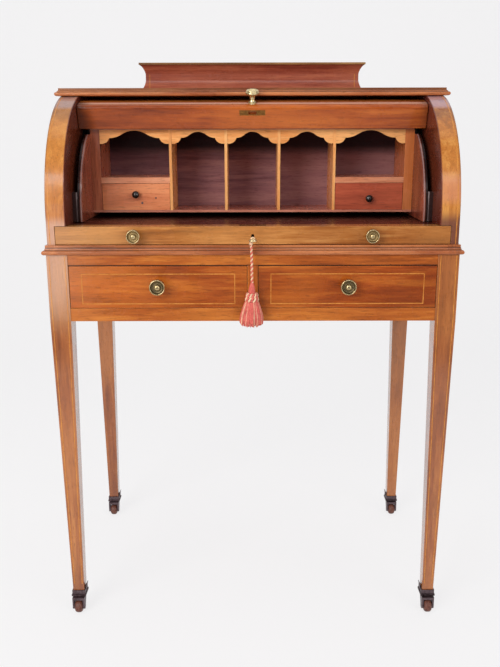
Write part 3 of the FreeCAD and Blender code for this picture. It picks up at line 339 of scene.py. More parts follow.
def wood(kind, grain="X", side_limit=None, light_and_tone_bands=()):
    """Polished wood with its grain along an axis, or along Y past a limit of |x|.

    A band is painted shade, a painted highlight or sheen, or a darker or lighter tone: an axis, where it
    starts, is full and ends on that axis, its depth and its colour. Without a colour it is painted shade in
    near black.
    """
    key = (kind, grain, side_limit, light_and_tone_bands)
    if key in WOODS:
        return WOODS[key]
    dark, middle, light, edge = WOOD_TONES[kind]
    graph = Graph(f"wood_{kind}_{grain.lower()}" + ("_ring" if side_limit else ""))
    weight, coat_rough, bend = POLISH.get(kind, THIN_POLISH)
    inputs = graph.shader.inputs
    inputs["Coat Weight"].default_value = weight
    inputs["Coat Roughness"].default_value = coat_rough
    inputs["Coat IOR"].default_value = bend
    inputs["Specular IOR Level"].default_value = POLISHED_SPECULAR if weight else BARE_SPECULAR
    place = graph.place()
    fibre = graph.vector("MULTIPLY", place, GRAIN_SCALES[grain])
    spot = graph.add("SeparateXYZ", Vector=graph.add("TexCoord").outputs["Object"]).outputs
    if side_limit:
        across = graph.vector("MULTIPLY", place, GRAIN_SCALES["Y"])
        beside = graph.math("GREATER_THAN", graph.math("ABSOLUTE", spot[X]), side_limit)
        fibre = graph.mix(beside, fibre, across)
    # Figure, streaks and fine fibres on one ramp of tones, then slow drift and pores
    drift = graph.noise(place, 3.2, 2.0)
    figure = graph.noise(fibre, 21.0, 4.0, 0.58, 1.1)
    streak = graph.noise(fibre, 92.0, 3.0, 0.6, 0.4)
    fine = graph.noise(fibre, 310.0, 2.0, 0.6)
    pores = graph.span(graph.noise(fibre, 720.0, 2.0, 0.5), 0.31, 0.43)
    tint = graph.blend(0.16, graph.blend(0.42, figure, streak), fine)
    colour = graph.ramp(tint, [(0.35, dark), (0.49, middle), (0.62, light)])
    colour = graph.mix(graph.span(drift, 0.44, 0.64, 0.0, 0.5), colour, light)
    colour = graph.mix(graph.span(drift, 0.46, 0.30, 0.0, 0.5), colour, dark)
    colour = graph.mix(graph.blend(pores, 0.34, 0.0), colour, shade(dark, 0.35))
    # Edges: rounded, and lighter where they turn away from the flat, as rubbed wear and as a painted
    # highlight
    round_edge = graph.add("Bevel", {"samples": 6}, Radius=edge).outputs[0]
    flat = graph.add("NewGeometry").outputs["Normal"]
    turn = graph.add("VectorMath", {"operation": "DOT_PRODUCT"}, _0=round_edge, _1=flat).outputs["Value"]
    wear = graph.span(drift, 0.30, 0.62, 0.18, 0.6)
    wear_and_highlight = graph.math("MULTIPLY", graph.span(turn, 0.985, 0.86), wear)
    colour = graph.mix(wear_and_highlight, colour, shade(light, 1.25, 0.02))
    # Painted bands: painted shade in near black unless a colour is given, painted highlights and sheen, and
    # tones
    for axis, start, full, end, share, *colours in light_and_tone_bands:
        depth = graph.span(spot[axis], start, full, 0.0, share)
        if end is not None:
            fade = graph.span(spot[axis], end, end + full - start, 1.0, 0.0)
            depth = graph.math("MULTIPLY", depth, fade)
        colour = graph.mix(depth, colour, colours[0] if colours else shade(dark, 0.12))
    smear = graph.noise(place, 26.0, 4.0, 0.62)
    rough = graph.blend(graph.span(smear, 0.3, 0.7), 0.20, 0.36)
    relief = graph.bump(graph.blend(0.7, smear, pores), 0.10, 0.0006, Normal=round_edge)
    WOODS[key] = graph.finish(Base_Color=colour, Roughness=rough, Normal=relief, Coat_Normal=round_edge)
    return WOODS[key]


def knob_brass(name, centre_x, centre_z, radius, dull):
    """Turned brass about an axis along Y: bright centre and rim, tarnish in the dish between."""
    graph = Graph(name, Metallic=1.0)
    spot = graph.add("TexCoord").outputs["Object"]
    parts = graph.add("SeparateXYZ", Vector=spot).outputs
    x = graph.math("SUBTRACT", graph.math("ABSOLUTE", parts[X]), abs(centre_x))
    z = graph.math("SUBTRACT", parts[Z], centre_z)
    squares = graph.math("ADD", graph.math("MULTIPLY", x, x), graph.math("MULTIPLY", z, z))
    share = graph.math("DIVIDE", graph.math("SQRT", squares), radius)
    dish = graph.math("MULTIPLY", graph.span(share, 0.34, 0.46), graph.span(share, 0.84, 0.74))
    blotch = graph.noise(spot, 420.0, 4.0, 0.65)
    tarnish = graph.math("MULTIPLY", dish, graph.span(blotch, 0.2, 0.6, 0.7, 1.0))
    stops = [(0.3, tone(160, 136, 92)), (0.55, tone(202, 180, 136)), (0.75, tone(226, 210, 172))]
    colour = graph.mix(tarnish, graph.ramp(blotch, stops), dull)
    rough = graph.blend(tarnish, 0.26, 0.48)
    return graph.finish(Base_Color=colour, Roughness=rough, Normal=graph.bump(blotch, 0.12, 0.0004))


def metal(name, dark, light, rough):
    """Cast or worked metal with patches of wear."""
    graph = Graph(name, Metallic=1.0)
    spot = graph.place()
    cloud = graph.noise(spot, 260.0, 5.0, 0.62)
    speck = graph.noise(spot, 1040.0, 3.0, 0.6)
    colour = graph.ramp(graph.blend(0.35, cloud, speck), [(0.34, dark), (0.62, light)])
    roughness = graph.span(cloud, 0.3, 0.7, rough - 0.08, rough + 0.12)
    return graph.finish(Base_Color=colour, Roughness=roughness, Normal=graph.bump(speck, 0.15, 0.0004))


def turned_black(name):
    """Blackened wood, turned and polished."""
    graph = Graph(name, Coat_Weight=0.6, Coat_Roughness=0.08)
    grain = graph.noise(graph.vector("MULTIPLY", graph.place(), (1.0, 0.15, 1.0)), 900.0, 3.0)
    colour = graph.ramp(grain, [(0.35, tone(14, 11, 11)), (0.7, tone(44, 33, 29))])
    return graph.finish(Base_Color=colour, Roughness=graph.span(grain, 0.3, 0.7, 0.22, 0.38))


def rolling_wood(name):
    """Hard brown wheel, scuffed on its tread."""
    graph = Graph(name)
    spot = graph.place()
    scuff = graph.noise(spot, 340.0, 5.0, 0.7)
    ring = graph.noise(graph.vector("MULTIPLY", spot, (1.0, 0.3, 0.3)), 520.0, 3.0)
    stops = [(0.32, tone(62, 32, 24)), (0.52, tone(104, 58, 44)), (0.72, tone(142, 92, 74))]
    colour = graph.ramp(graph.blend(0.45, ring, scuff), stops)
    rough = graph.span(scuff, 0.3, 0.7, 0.34, 0.62)
    return graph.finish(Base_Color=colour, Roughness=rough, Normal=graph.bump(scuff, 0.2, 0.0005))


def yarn(name, shaded, light):
    """Soft twisted cotton with fine fibres and a pale sheen."""
    graph = Graph(name, Sheen_Weight=0.5, Sheen_Roughness=0.45, Sheen_Tint=light, Specular_IOR_Level=0.2)
    spot = graph.place()
    fibre = graph.noise(graph.vector("MULTIPLY", spot, (1.0, 1.0, 0.25)), 1900.0, 3.0, 0.6)
    clump = graph.noise(spot, 240.0, 2.0)
    colour = graph.ramp(graph.blend(0.5, fibre, clump), [(0.32, shaded), (0.62, light)])
    rough = graph.span(fibre, 0.3, 0.7, 0.75, 0.95)
    return graph.finish(Base_Color=colour, Roughness=rough, Normal=graph.bump(fibre, 0.35, 0.0003))


def stringing_wood():
    """Pale inlaid line, yellowed by polish."""
    graph = Graph("boxwood_line", Coat_Weight=0.1, Specular_IOR_Level=0.2)
    spot = graph.place()
    grain = graph.noise(graph.vector("MULTIPLY", spot, (0.2, 0.2, 0.2)), 900.0, 3.0)
    stain = graph.noise(spot, 34.0, 3.0)
    stops = [(0.32, tone(176, 102, 38)), (0.6, tone(212, 142, 66))]
    colour = graph.ramp(graph.blend(0.6, grain, stain), stops)
    return graph.finish(Base_Color=colour, Roughness=graph.span(grain, 0.3, 0.7, 0.25, 0.4))


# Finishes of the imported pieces; past these |x|, pieces that go round have their grain along the sides
STAND_SIDE = 0.333
TOP_SIDE = 0.36


def dress(names, material):
    for name in names.split():
        mesh = NODES[name].data
        mesh.materials.clear()
        mesh.materials.append(material)


def dress_faces(name, material, chosen):
    """A second finish on the faces of a piece that a test picks."""
    mesh = NODES[name].data
    mesh.materials.append(material)
    for face in mesh.polygons:
        if chosen(face, [mesh.vertices[i].co for i in face.vertices]):
            face.material_index = len(mesh.materials) - 1


def finish_case():
    dress("leg_front_right leg_back_left leg_back_right", wood("leg", "Z"))
    # Painted sheen on the head of the left front leg, a lit copy of the leg wood
    leg_sheen = (Z, 0.54, 0.60, None, 0.3, tone(214, 168, 125))
    dress("leg_front_left", wood("leg", "Z", None, (leg_sheen,)))
    dress("bed_board cylinder_shell", wood("case"))
    # Painted shade on the rail along the gap above the drawers
    drawer_gap_shade = (Z, 0.6772, 0.6776, 0.6786, 0.9)
    dress("frieze_rails", wood("case", light_and_tone_bands=(drawer_gap_shade,)))
    dress("drawer_muntin back_panel", wood("case", "Z"))
    dress("aprons", wood("case", "X", STAND_SIDE))
    # Painted shade in the top board's quirk and over its upper cove
    top_shade_lines = ((Z, 0.9712, 0.9717, 0.9725, 0.75), (Z, 0.9728, 0.9748, None, 0.5))
    dress("top_board", wood("moulding", "X", TOP_SIDE, top_shade_lines))
    # Painted shade in the waist moulding's grooves
    waist_shade_lines = ((Z, 0.7038, 0.7043, 0.7049, 0.65), (Z, 0.7066, 0.7076, 0.7092, 0.55))
    dress("waist_moulding", wood("moulding", "X", STAND_SIDE, waist_shade_lines))
    drawer_middle = (X, -0.22, -0.10, 0.14, 0.18, tone(80, 20, 8))
    # Painted shade along the drawers' top edge under the rail; drawer_middle makes the middle darker and
    # redder
    drawer_top_shade = (Z, 0.6763, 0.6772, None, 0.9)
    dress("drawer_left_front drawer_right_front", wood("drawer", light_and_tone_bands=(drawer_middle, drawer_top_shade)))
    dress("gallery", wood("red"))
    dress("gallery_cap", wood("cap"))
    # Painted highlight along the rim's rounding (shine) and painted light on the band above it (blush); ends
    # makes both ends darker
    shine = (Z, 0.9490, 0.9505, None, 0.8, tone(236, 190, 168))
    blush = (Z, 0.9520, 0.9528, None, 0.85, tone(206, 124, 100))
    ends = ((X, -0.286, -0.316, None, 0.6), (X, 0.300, 0.320, None, 0.45))
    dress("cylinder_edge", wood("edge", light_and_tone_bands=(shine, blush) + ends))
    # Painted light on the left end and painted shade on the right, as from the lamp on the left
    lit_left_end = (X, -0.14, -0.28, None, 0.35, tone(206, 150, 92))
    shaded_right_end = (X, 0.02, 0.14, None, 0.2, tone(110, 50, 14))
    dress("slide_front", wood("golden", light_and_tone_bands=(lit_left_end, shaded_right_end)))
    # Painted shade under the pigeonhole case, full towards the back
    dress("slide_panel", wood("panel", light_and_tone_bands=((Y, -0.15, -0.03, None, 0.9),)))
    boxes = "drawer_left_box drawer_right_box small_drawer_left_box small_drawer_right_box"
    dress(boxes + " drawer_runners", wood("plain", "Y"))
    finish_cheeks()
    finish_pigeonholes()


def finish_cheeks():
    """Cheeks with a painted sheen at the top and painted light and shade at the foot in front, plain outside
    and painted shade on the inner faces, and the linings.
    """
    # Painted sheen at the top of each cheek
    top_sheens = {"left": tone(160, 142, 148), "right": tone(190, 160, 176)}
    # Painted reflection at the left cheek's foot; a painted highlight and painted shade at the right cheek's
    # foot
    left_foot_reflection = (Z, 0.765, 0.745, None, 0.45, tone(214, 182, 166))
    right_cheek_highlight = (Z, 0.775, 0.795, 0.815, 0.45, tone(214, 142, 112))
    right_foot_shade = (Z, 0.775, 0.748, None, 0.8, tone(88, 47, 51))
    feet = {"left": (left_foot_reflection,), "right": (right_cheek_highlight, right_foot_shade)}
    slot_shades, edge_highlights, glints = (), (), ()
    for side, sign in SIDES:
        # Darker under the sheen and towards the outer edge; painted shade on the inner face, in the slot
        under = (Z, 0.915, 0.930, 0.934, 0.3)
        top_sheen = (Z, 0.938, 0.946, None, 0.6, top_sheens[side])
        outer = (X, sign * 0.3495, sign * 0.3525, None, 0.4)
        inner = (X, sign * 0.3222, sign * 0.3200, None, 0.94, tone(104, 41, 29))
        bands = (under, top_sheen, outer) + feet[side] + (inner,)
        dress(f"cheek_{side}", wood("cheek", "Z", None, bands))
        dress_faces(f"cheek_{side}", wood("cheek", "Z"), faces_outward)
        # Painted near-black shade in the slot past each lining's front, and painted highlights along the
        # linings' and spacers' front edges (glints)
        slot_shades += ((X, sign * 0.3045, sign * 0.3070, None, 0.95, tone(14, 9, 10)),)
        edge_highlights += ((X, sign * 0.3028, sign * 0.3034, sign * 0.3046, 0.5, tone(190, 170, 168)),)
        glints += ((X, sign * 0.3100, sign * 0.3106, sign * 0.3122, 0.5, tone(190, 176, 176)),)
    dress("linings", wood("lining", "Z", None, slot_shades + edge_highlights))
    dress("lining_spacers", wood("shadow", "Z", None, glints))


def faces_outward(face, _):
    """Whether a face of a cheek looks straight out at the side."""
    return face.normal.x * face.center.x > 0.3


def finish_pigeonholes():
    shelf_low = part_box("small_drawer_left_front")[1].z

    def on_shelf(_, corners):
        return all(shelf_low - 0.001 < corner.z < shelf_low + 0.013 for corner in corners)

    # Painted shadow of the arches, near black at the top of the pigeonholes
    dress("case_back", wood("hole", light_and_tone_bands=((Z, 0.850, 0.876, None, 0.92),)))
    dress("case_boards", wood("board"))
    dress("case_arches", wood("inside"))
    dress("case_partitions", wood("inside", "Z"))
    dress_faces("case_partitions", wood("shelf"), on_shelf)
    right_side = (X, 0.0, 0.01, None, 0.5, tone(214, 122, 48))
    dress("case_sides", wood("case_side", "Z", None, (right_side,)))
    dress("small_drawer_left_front", wood("small"))
    dress("small_drawer_right_front", wood("small_red"))


def finish_metal():
    for node in ("drawer_left_knob", "drawer_right_knob"):
        low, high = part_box(node)
        middle = (low + high) / 2
        radius = (high.z - low.z) / 2
        dress(node, knob_brass("brass_" + node, middle.x, middle.z, radius, tone(104, 92, 68)))
    low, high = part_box("slide_knobs")
    radius = (high.z - low.z) / 2
    centre = (high.x - radius, (low.z + high.z) / 2)
    dress("slide_knobs", knob_brass("brass_slide_knobs", *centre, radius, tone(150, 128, 88)))
    brass = metal("brass_worn", tone(196, 170, 116), tone(242, 226, 180), 0.28)
    old_brass = metal("brass_old", tone(112, 74, 38), tone(160, 114, 62), 0.38)
    bronze = metal("bronze_dark", tone(66, 54, 56), tone(118, 102, 106), 0.40)
    pale = metal("brass_pale", tone(196, 168, 116), tone(240, 222, 178), 0.30)
    # Dark brown: patina and painted shade inside the keyhole
    lock_patina_and_shade = metal("lock_patina_and_shade", tone(40, 24, 18), tone(90, 54, 36), 0.6)
    iron = metal("iron_grey", tone(58, 56, 55), tone(112, 108, 104), 0.4)
    dress("cylinder_knob", brass)
    dress("key", pale)
    dress("strike_plate lock_bolt", old_brass)
    dress("slide_lock", lock_patina_and_shade)
    dress("cylinder_arms pivot_pins", iron)
    dress("caster_cups", bronze)
    wheel = rolling_wood("wheel_brown")
    for row in ("front", "back"):
        for side, _ in SIDES:
            dress(f"caster_horn_{row}_{side}", bronze)
            dress(f"caster_wheel_{row}_{side}", wheel)
    dress("small_drawer_left_knob small_drawer_right_knob", turned_black("ebony_turned"))
    return old_brass, bronze


# Inlaid lines: strips let into the wood, a hair proud of it
LINE_PROUD = 0.00012
LINE_DEPTH = 0.0005


def inlay(name, sections, body, material, closed=False):
    """Each section is the strip's two edges on the surface and the surface's direction."""
    points = []
    for left, right, out in sections:
        points += [left + out * LINE_PROUD, right + out * LINE_PROUD]
        points += [right - out * LINE_DEPTH, left - out * LINE_DEPTH]
    faces = []
    count = len(sections)
    for i in range(count if closed else count - 1):
        faces += bridge(4 * i, 4 * ((i + 1) % count), 4)
    if not closed:
        faces += [(3, 2, 1, 0), tuple(range(4 * count - 4, 4 * count))]
    piece = new_mesh(name, points, faces, body, [material], smooth=False)
    return piece


def line_sections(profile, x, half):
    """Sections of a line at one x that follows a profile of y, z and the surface's direction."""
    return [(Vector((x - half, y, z)), Vector((x + half, y, z)), out) for y, z, out in profile]


def inlay_drawers(line):
    side_margin, base_margin, top_margin = 0.0205, 0.0065, 0.0130
    wide = 0.0016
    for side, _ in SIDES:
        low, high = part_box(f"drawer_{side}_front")
        left, right = low.x + side_margin, high.x - side_margin
        base, top = low.z + base_margin, high.z - top_margin
        corners = [(left, base, 1, 1), (right, base, -1, 1), (right, top, -1, -1), (left, top, 1, -1)]
        sections = []
        for x, z, inward, upward in corners:
            outer = Vector((x, low.y, z))
            sections.append((outer, outer + Vector((inward * wide, 0, upward * wide)), FRONTWARD))
        inlay(f"drawer_{side}_stringing", sections, f"drawer_{side}", line, closed=True)


def inlay_legs(line):
    """Two lines down the front of each front leg, closer together as it tapers."""
    head, taper, margin = 0.01825, 0.00775, 0.0047
    top = 0.6950
    half_line = 0.0006
    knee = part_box("frieze_rails")[0].z
    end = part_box("caster_cups")[1].z + 0.002
    for side, sign in SIDES:
        low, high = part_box(f"leg_front_{side}")
        middle = (low.x + high.x) / 2
        for place, way in (("outer", sign), ("inner", -sign)):
            sections = []
            for z in (top, knee, end):
                share = max(0.0, (knee - z) / (knee - low.z))
                half = head - taper * share
                edge = middle + way * (half - margin * (0.45 + 0.55 * half / head))
                sections += line_sections([(low.y + taper * share, z, FRONTWARD)], edge, half_line)
            inlay(f"leg_{side}_{place}_stringing", sections, "desk", line)


def inlay_cheeks(line):
    """A line up each cheek's front and over its quarter round."""
    axis_y, axis_z, radius = 0.01125, 0.760, 0.2085
    foot, end = 0.7140, math.radians(78.5)
    place, half_line = 0.3475, 0.0007
    steps = 32
    profile = [(axis_y - radius, foot, FRONTWARD)]
    for i in range(steps + 1):
        turn = end * i / steps
        out = Vector((0, -math.cos(turn), math.sin(turn)))
        profile.append((axis_y + out.y * radius, axis_z + out.z * radius, out))
    for side, sign in SIDES:
        sections = line_sections(profile, sign * place, half_line)
        inlay(f"cheek_{side}_stringing", sections, "desk", line)


def circle_through(first, second, third):
    """Centre and radius of the circle through three points of a plane."""
    (ax, az), (bx, bz), (cx, cz) = first, second, third
    double = 2 * (ax * (bz - cz) + bx * (cz - az) + cx * (az - bz))
    a, b, c = (x * x + z * z for x, z in (first, second, third))
    centre_x = (a * (bz - cz) + b * (cz - az) + c * (az - bz)) / double
    centre_z = (a * (cx - bx) + b * (ax - cx) + c * (bx - ax)) / double
    return centre_x, centre_z, math.hypot(ax - centre_x, az - centre_z)


def inlay_gallery(line):
    """Upright lines that follow the gallery's spreading foot."""
    face, foot, hollow_top, top = 0.19725, 0.979, 1.006, 1.0185
    spread, rise = 0.014, hollow_top - foot
    place, half_line, lift = 0.2155, 0.0006, 0.0012
    steps = 10
    # The foot's hollow goes through its toe, a point near its middle and its head
    middle_x, middle_z, radius = circle_through((spread, 0.0), (0.5 * spread, 0.32 * rise), (0.0, rise))
    first = math.atan2(lift - middle_z, spread - middle_x)
    last = math.atan2(rise - middle_z, -middle_x)
    if abs(last - first) > math.pi:
        first += math.copysign(2 * math.pi, last - first)
    profile = []
    for i in range(steps + 1):
        turn = first + (last - first) * i / steps
        away = Vector((0, -math.cos(turn), math.sin(turn)))
        y = face - middle_x - radius * math.cos(turn)
        z = foot + middle_z + radius * math.sin(turn)
        profile.append((y, z, away if away.y < 0 else -away))
    profile.append((face, top, FRONTWARD))
    for side, sign in SIDES:
        sections = line_sections(profile, sign * place, half_line)
        inlay(f"gallery_{side}_stringing", sections, "desk", line)


# Small fixings and marks
def plate_screw(name, middle, out, radius, body, material):
    """A slotted screw head: two halves of a low dome with a slot between them."""
    across = out.orthogonal().normalized()
    along = out.cross(across)
    slot = 0.12
    tubes = Tubes()
    for way in (-1, 1):
        rings = []
        for share, rise in ((1.0, -0.0006), (1.0, 0.00006), (0.82, 0.00022), (0.45, 0.0003)):
            ring = []
            for k in range(9):
                turn = math.pi * k / 8
                away = way * (slot + (1 - slot) * math.sin(turn) * share)
                edge = across * math.cos(turn) * share + along * away
                ring.append(middle + edge * radius + out * rise)
            rings.append(ring)
        tubes.add(rings, 0)
    return tubes.piece(name, body, [material])


def plug_dot(name, middle, out, radius, body, material):
    """A small round plug, pin or filled hole, slightly domed."""
    across = out.orthogonal().normalized()
    along = out.cross(across)
    turns = [2 * math.pi * k / 14 for k in range(14)]
    rim = [across * math.cos(turn) + along * math.sin(turn) for turn in turns]
    rings = []
    for share, rise in ((1.0, -0.0006), (1.0, 0.00005), (0.8, 0.0002), (0.4, 0.0003)):
        rings.append([middle + spoke * radius * share + out * rise for spoke in rim])
    tubes = Tubes()
    tubes.add(rings, 0)
    return tubes.piece(name, body, [material])


def fit_fixings(old_brass, dark):
    plate = NODES["strike_plate"].data
    face = max(plate.polygons, key=lambda p: p.area * (p.normal.y < -0.2))
    out = face.normal.copy()
    low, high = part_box("strike_plate")
    middle = (low + high) / 2
    for side, sign in SIDES:
        spot = Vector((sign * 0.0185, middle.y, middle.z))
        spot -= out * (spot - face.center).dot(out)
        plate_screw(f"strike_screw_{side}", spot, out, 0.0019, "cylinder", old_brass)
    for side, sign in SIDES:
        pin, inward = mm(sign * 301.5, -114.5, 760.8), Vector((-sign, 0, 0))
        plug_dot(f"lining_pin_{side}", pin, inward, 0.0016, "desk", old_brass)
    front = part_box("small_drawer_left_front")[0].y
    for label, x, z, radius in (("low", -0.2091, 0.7704, 0.0021), ("high", -0.1831, 0.7797, 0.0016)):
        name, spot = f"small_drawer_mark_{label}", Vector((x, front, z))
        plug_dot(name, spot, FRONTWARD, radius, "small_drawer_left", dark)


# Tassel on the key
KEY_Z = 0.7246
TASSEL_Y = -0.21825
HEAD_TOP = 0.6511
RUFF_TOP = 0.6331
SKIRT_TOP = 0.6191
SKIRT_LOW = 0.5741
LEAN = 0.0026
# The cord's points are this far apart, and its two plies make a turn in this length
CORD_STEP = 0.0005
CORD_LAY = 0.0080
# Head and skirt swell as a sine up to this angle, so that they turn in again at the end
SWELL = 1.9


def leaned(point):
    """The tassel hangs a little to one side below the key."""
    return point + Vector((-LEAN * (KEY_Z - point.z) / (KEY_Z - SKIRT_LOW), 0, 0))


def round_axis(radius, turn, z):
    """A point round the tassel's middle line."""
    return Vector((radius * math.cos(turn), TASSEL_Y + radius * math.sin(turn), z))


def cord_route():
    """Once round the key's neck, off its side and down to the head."""
    points = []
    reach, behind, before = 0.0035, 0.0012, 0.0010
    steps = 10
    for i in range(steps + 1):
        turn = math.radians(-110 + 30 * i)
        y = TASSEL_Y + behind - (behind + before) * i / steps
        points.append(Vector((reach * math.cos(turn), y, KEY_Z + reach * math.sin(turn))))
    points.append(Vector((-0.0026, TASSEL_Y - before, KEY_Z - 0.0085)))
    points.append(Vector((-0.0014, TASSEL_Y, 0.6950)))
    points.append(Vector((-0.0007, TASSEL_Y, 0.6700)))
    points.append(Vector((0.0, TASSEL_Y, HEAD_TOP - 0.002)))
    return [leaned(point) for point in points]


def make_cord(cream, salmon):
    """Two plies laid round each other; one of them makes the loop round the key."""
    ply_radius, ply_offset, spread_length = 0.00126, 0.00118, 0.006
    knot_below, knot_rise, knot_length, knot_turns = 0.0060, 0.0016, 0.0036, 2.5
    wrap_radius, wrap_yarn = 0.0021, 0.0010
    steps = 48
    line = even_line(smooth_line("cord_route", cord_route()), CORD_STEP)
    junction = next(i for i, p in enumerate(line) if p.z < KEY_Z - knot_below and i > 20)
    tubes = Tubes()
    for ply in range(2):
        centre = []
        for i, (point, side, up) in enumerate(frames_along(line)):
            laid = min(max((i - junction) * CORD_STEP / spread_length, 0.0), 1.0)
            turn = math.pi * ply + 2 * math.pi * i * CORD_STEP / CORD_LAY
            if ply == 0 or i >= junction:
                centre.append(point + (side * math.cos(turn) + up * math.sin(turn)) * ply_offset * laid)
        tubes.add(tube_rings(centre, ply_radius, 10, lobes=5, lobe_depth=0.05, lobe_turns=-26), ply)
    wrap = []
    for i in range(steps + 1):
        turn = 2 * math.pi * knot_turns * i / steps
        knot = line[junction] + Vector((0, 0, knot_rise - knot_length * i / steps))
        wrap.append(knot + Vector((math.cos(turn), math.sin(turn), 0)) * wrap_radius)
    tubes.add(tube_rings(wrap, wrap_yarn, 8, lobes=3, lobe_depth=0.08, lobe_turns=20), 0)
    cord = tubes.piece("tassel_cord_twist", "tassel", [cream, salmon])
    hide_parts("tassel_cord")
    return cord, line


def make_head(salmon):
    """The head: yarn wound tightly round a bulb."""
    rings = []
    neck, bulge, tuck = 0.0024, 0.0035, 0.003
    windings, groove = 13, 0.055
    steps, sides = 90, 36
    for i in range(steps + 1):
        share = i / steps
        z = HEAD_TOP - (HEAD_TOP - RUFF_TOP + tuck) * share
        base = neck + bulge * math.sin(SWELL * share)
        ring = []
        for k in range(sides):
            turn = 2 * math.pi * k / sides
            wind = 1 + groove * math.cos(2 * math.pi * windings * share - turn)
            ring.append(leaned(round_axis(base * wind, turn, z)))
        rings.append(ring)
    tubes = Tubes()
    tubes.add(rings, 0)
    head = tubes.piece("tassel_head_wound", "tassel", [salmon])
    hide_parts("tassel_head")
    return head


def make_ruff(side, sign, cream, salmon):
    """Half of the ruff: two tiers of looped cords round the neck."""
    tubes = Tubes()
    start = -math.pi / 2 if sign > 0 else math.pi / 2
    loops, swing, lift, yarn_radius = 7, 0.0016, 0.0028, 0.00170
    steps = 56
    for tier, (height, reach) in enumerate(((0.6292, 0.0078), (0.6226, 0.0090))):
        for colour in range(2):
            line = []
            for i in range(steps + 1):
                turn = start + math.pi * i / steps
                wave = loops * turn + math.pi * colour + 1.1 * tier
                z = height + lift * math.sin(wave)
                line.append(round_axis(reach + swing * math.cos(wave), turn, z))
            tubes.add(tube_rings(line, yarn_radius, 8, lobes=3, lobe_depth=0.1, lobe_turns=12), colour)
    neck = []
    for z, radius in ((0.6345, 0.0054), (0.6290, 0.0070), (0.6230, 0.0082), (0.6170, 0.0090)):
        turns = [start + math.pi * k / 14 for k in range(15)]
        neck.append([round_axis(radius, turn, z) for turn in turns])
    tubes.add(neck, 1)
    tubes.points = [leaned(point) for point in tubes.points]
    ruff = tubes.piece(f"tassel_ruff_{side}_loops", "tassel", [cream, salmon])
    return give_way(ruff)


def give_way(piece):
    """A soft half of the tassel, with a mesh of its own; the imported skirt is hidden."""
    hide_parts("tassel_skirt")
    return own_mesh(piece)


def skirt_point(turn, layer, share, sway):
    """A point of the skirt: round its oval, in a layer of it, down from its neck."""
    belly = math.sin(SWELL * share)
    half_x = (0.0110 + 0.0098 * belly) * layer
    half_y = (0.0082 + 0.0058 * belly) * layer
    turn += sway * share * share
    z = SKIRT_TOP + 0.0005 - (SKIRT_TOP - SKIRT_LOW) * share
    return leaned(Vector((half_x * math.cos(turn), TASSEL_Y + half_y * math.sin(turn), z)))


def hem(turn):
    """How far down the strands reach round the skirt: less at its sides."""
    return 1 - 0.11 * abs(math.cos(turn)) ** 4


def make_skirt(side, sign, pale, salmon, deep):
    """Half of the skirt: strands over a soft core, one half on each drawer's side."""
    chance = random.Random(41 + sign)
    facing = 0 if sign > 0 else math.pi
    pale_share = 0.24
    core, core_length = 0.76, 0.93
    tubes = Tubes()
    for layer, count, size in ((0.97, 40, 0.00085), (0.84, 26, 0.0009)):
        for i in range(count):
            turn = math.pi * ((i + 0.5 + chance.uniform(-0.3, 0.3)) / count - 0.5) + facing
            sway = chance.uniform(-0.10, 0.10)
            length = chance.uniform(0.93, 0.995)
            near = layer * chance.uniform(0.94, 1.0)
            waver = chance.uniform(0, 6.28)
            line = []
            for k in range(12):
                share = length * hem(turn) * k / 11
                drift = 0.03 * math.sin(waver + 5.5 * share) * share
                line.append(skirt_point(turn + drift, near, share, sway))
            colour = 0 if chance.random() < pale_share else 1
            tubes.add(tube_rings(line, size, 6, lobes=2, lobe_depth=0.16, lobe_turns=9), colour)
    rings = []
    for k in range(8):
        turns = [math.pi * (j / 14 - 0.5) + facing for j in range(15)]
        rings.append([skirt_point(turn, core, core_length * hem(turn) * k / 7, 0.0) for turn in turns])
    tubes.add(rings, 2)
    skirt = tubes.piece(f"tassel_skirt_{side}_strands", "tassel", [pale, salmon, deep])
    return give_way(skirt)


def make_tassel():
    cream = yarn("yarn_cream", tone(224, 176, 138), tone(246, 218, 186))
    salmon = yarn("yarn_salmon", tone(196, 84, 78), tone(230, 124, 112))
    blush = yarn("yarn_blush", tone(222, 150, 122), tone(240, 190, 160))
    deep = yarn("yarn_deep", tone(150, 56, 54), tone(186, 84, 78))
    cord, line = make_cord(cream, salmon)
    held = [make_head(salmon)]
    for side, sign in SIDES:
        held += [make_ruff(side, sign, cream, salmon), make_skirt(side, sign, blush, salmon, deep)]


# Studio: a white floor that sweeps up behind, soft lamps and pale surroundings
def white_when_seen(tree, lit, strength):
    """A shader that is mostly plain white to the camera and in reflections, and is lit otherwise."""
    rays = tree.nodes.new("ShaderNodeLightPath")
    first = tree.nodes.new("ShaderNodeMath")
    second = tree.nodes.new("ShaderNodeMath")
    for node in (first, second):
        node.operation = "MAXIMUM"
    tree.links.new(rays.outputs["Is Camera Ray"], first.inputs[0])
    tree.links.new(rays.outputs["Is Glossy Ray"], first.inputs[1])
    tree.links.new(first.outputs[0], second.inputs[0])
    tree.links.new(rays.outputs["Is Transmission Ray"], second.inputs[1])
    share = tree.nodes.new("ShaderNodeMath")
    share.operation = "MULTIPLY"
    share.inputs[1].default_value = strength
    tree.links.new(second.outputs[0], share.inputs[0])
    white = tree.nodes.new("ShaderNodeEmission")
    white.inputs["Color"].default_value = (0.965, 0.958, 0.965, 1.0)
    both = tree.nodes.new("ShaderNodeMixShader")
    tree.links.new(share.outputs[0], both.inputs[0])
    tree.links.new(lit, both.inputs[1])
    tree.links.new(white.outputs[0], both.inputs[2])
    return both.outputs[0]


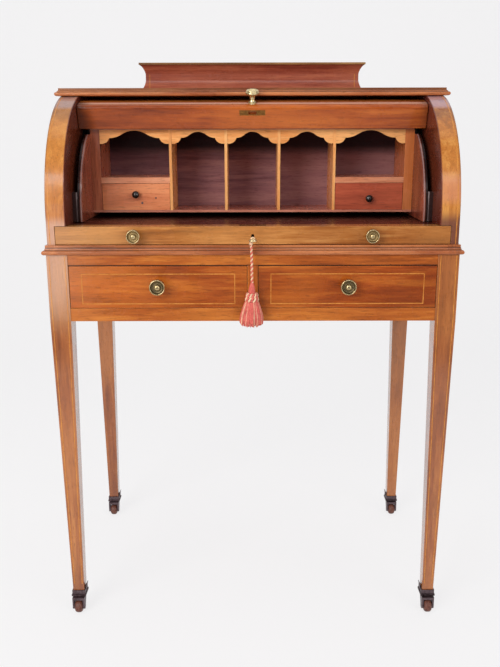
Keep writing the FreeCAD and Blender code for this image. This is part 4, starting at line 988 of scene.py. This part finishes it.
def make_floor():
    front, bend, radius, top, half_width = -1.7, 1.6, 1.4, 6.0, 7.0
    steps = 12
    profile = [(front, 0.0), (bend, 0.0)]
    for i in range(1, steps + 1):
        turn = math.radians(90) * i / steps
        profile.append((bend + radius * math.sin(turn), radius - radius * math.cos(turn)))
    profile.append((bend + radius, top))
    points = []
    for y, z in profile:
        points += [(-half_width, y, z), (half_width, y, z)]
    faces = [(2 * i, 2 * i + 1, 2 * i + 3, 2 * i + 2) for i in range(len(profile) - 1)]
    mesh = bpy.data.meshes.new("studio_floor")
    mesh.from_pydata(points, [], faces)
    mesh.polygons.foreach_set("use_smooth", [True] * len(faces))
    graph = Graph("studio_white", Roughness=0.9)
    graph.shader.inputs["Base Color"].default_value = (0.88, 0.88, 0.89, 1.0)
    output = graph.tree.nodes["Material Output"]
    seen = white_when_seen(graph.tree, graph.shader.outputs["BSDF"], 0.80)
    graph.tree.links.new(seen, output.inputs["Surface"])
    mesh.materials.append(graph.material)
    link_object("studio_floor", mesh)


def lamp(name, place, target, size, power, colour=(1.0, 1.0, 1.0)):
    data = bpy.data.lights.new(name, "AREA")
    data.shape = "RECTANGLE"
    data.size, data.size_y = size
    data.energy = power
    data.color = colour
    thing = link_object(name, data)
    thing.location = place
    thing.rotation_euler = (Vector(target) - Vector(place)).to_track_quat("-Z", "Y").to_euler()


def make_light():
    world = bpy.data.worlds.new("studio")
    world.use_nodes = True
    SCENE.world = world
    tree = world.node_tree
    surround = tree.nodes["Background"]
    surround.inputs["Color"].default_value = (0.97, 0.98, 1.0, 1.0)
    surround.inputs["Strength"].default_value = 0.30
    lamp("key_lamp", (-1.9, -2.6, 2.1), (0, 0, 0.7), (1.8, 1.6), 58.0, (1.0, 0.97, 0.93))
    lamp("fill_lamp", (2.2, -2.3, 1.4), (0.1, 0, 0.8), (1.6, 1.6), 22.0, (1.0, 0.98, 0.96))
    lamp("side_lamp", (-1.5, -2.7, 0.6), (0, 0, 0.7), (1.3, 1.2), 14.0, (1.0, 0.98, 0.96))
    lamp("strip_lamp", (0.1, -2.7, 2.5), (0, 0, 0.9), (3.2, 0.5), 15.0)
    lamp("top_lamp", (0.0, 0.2, 3.2), (0, 0.1, 0.5), (2.6, 1.8), 14.0)


make_camera()
make_tassel()
finish_case()
OLD_BRASS, BRONZE = finish_metal()
LINE = stringing_wood()
inlay_drawers(LINE)
inlay_legs(LINE)
inlay_cheeks(LINE)
inlay_gallery(LINE)
fit_fixings(OLD_BRASS, BRONZE)
make_floor()
make_light()
SCENE.view_settings.view_transform = "Standard"
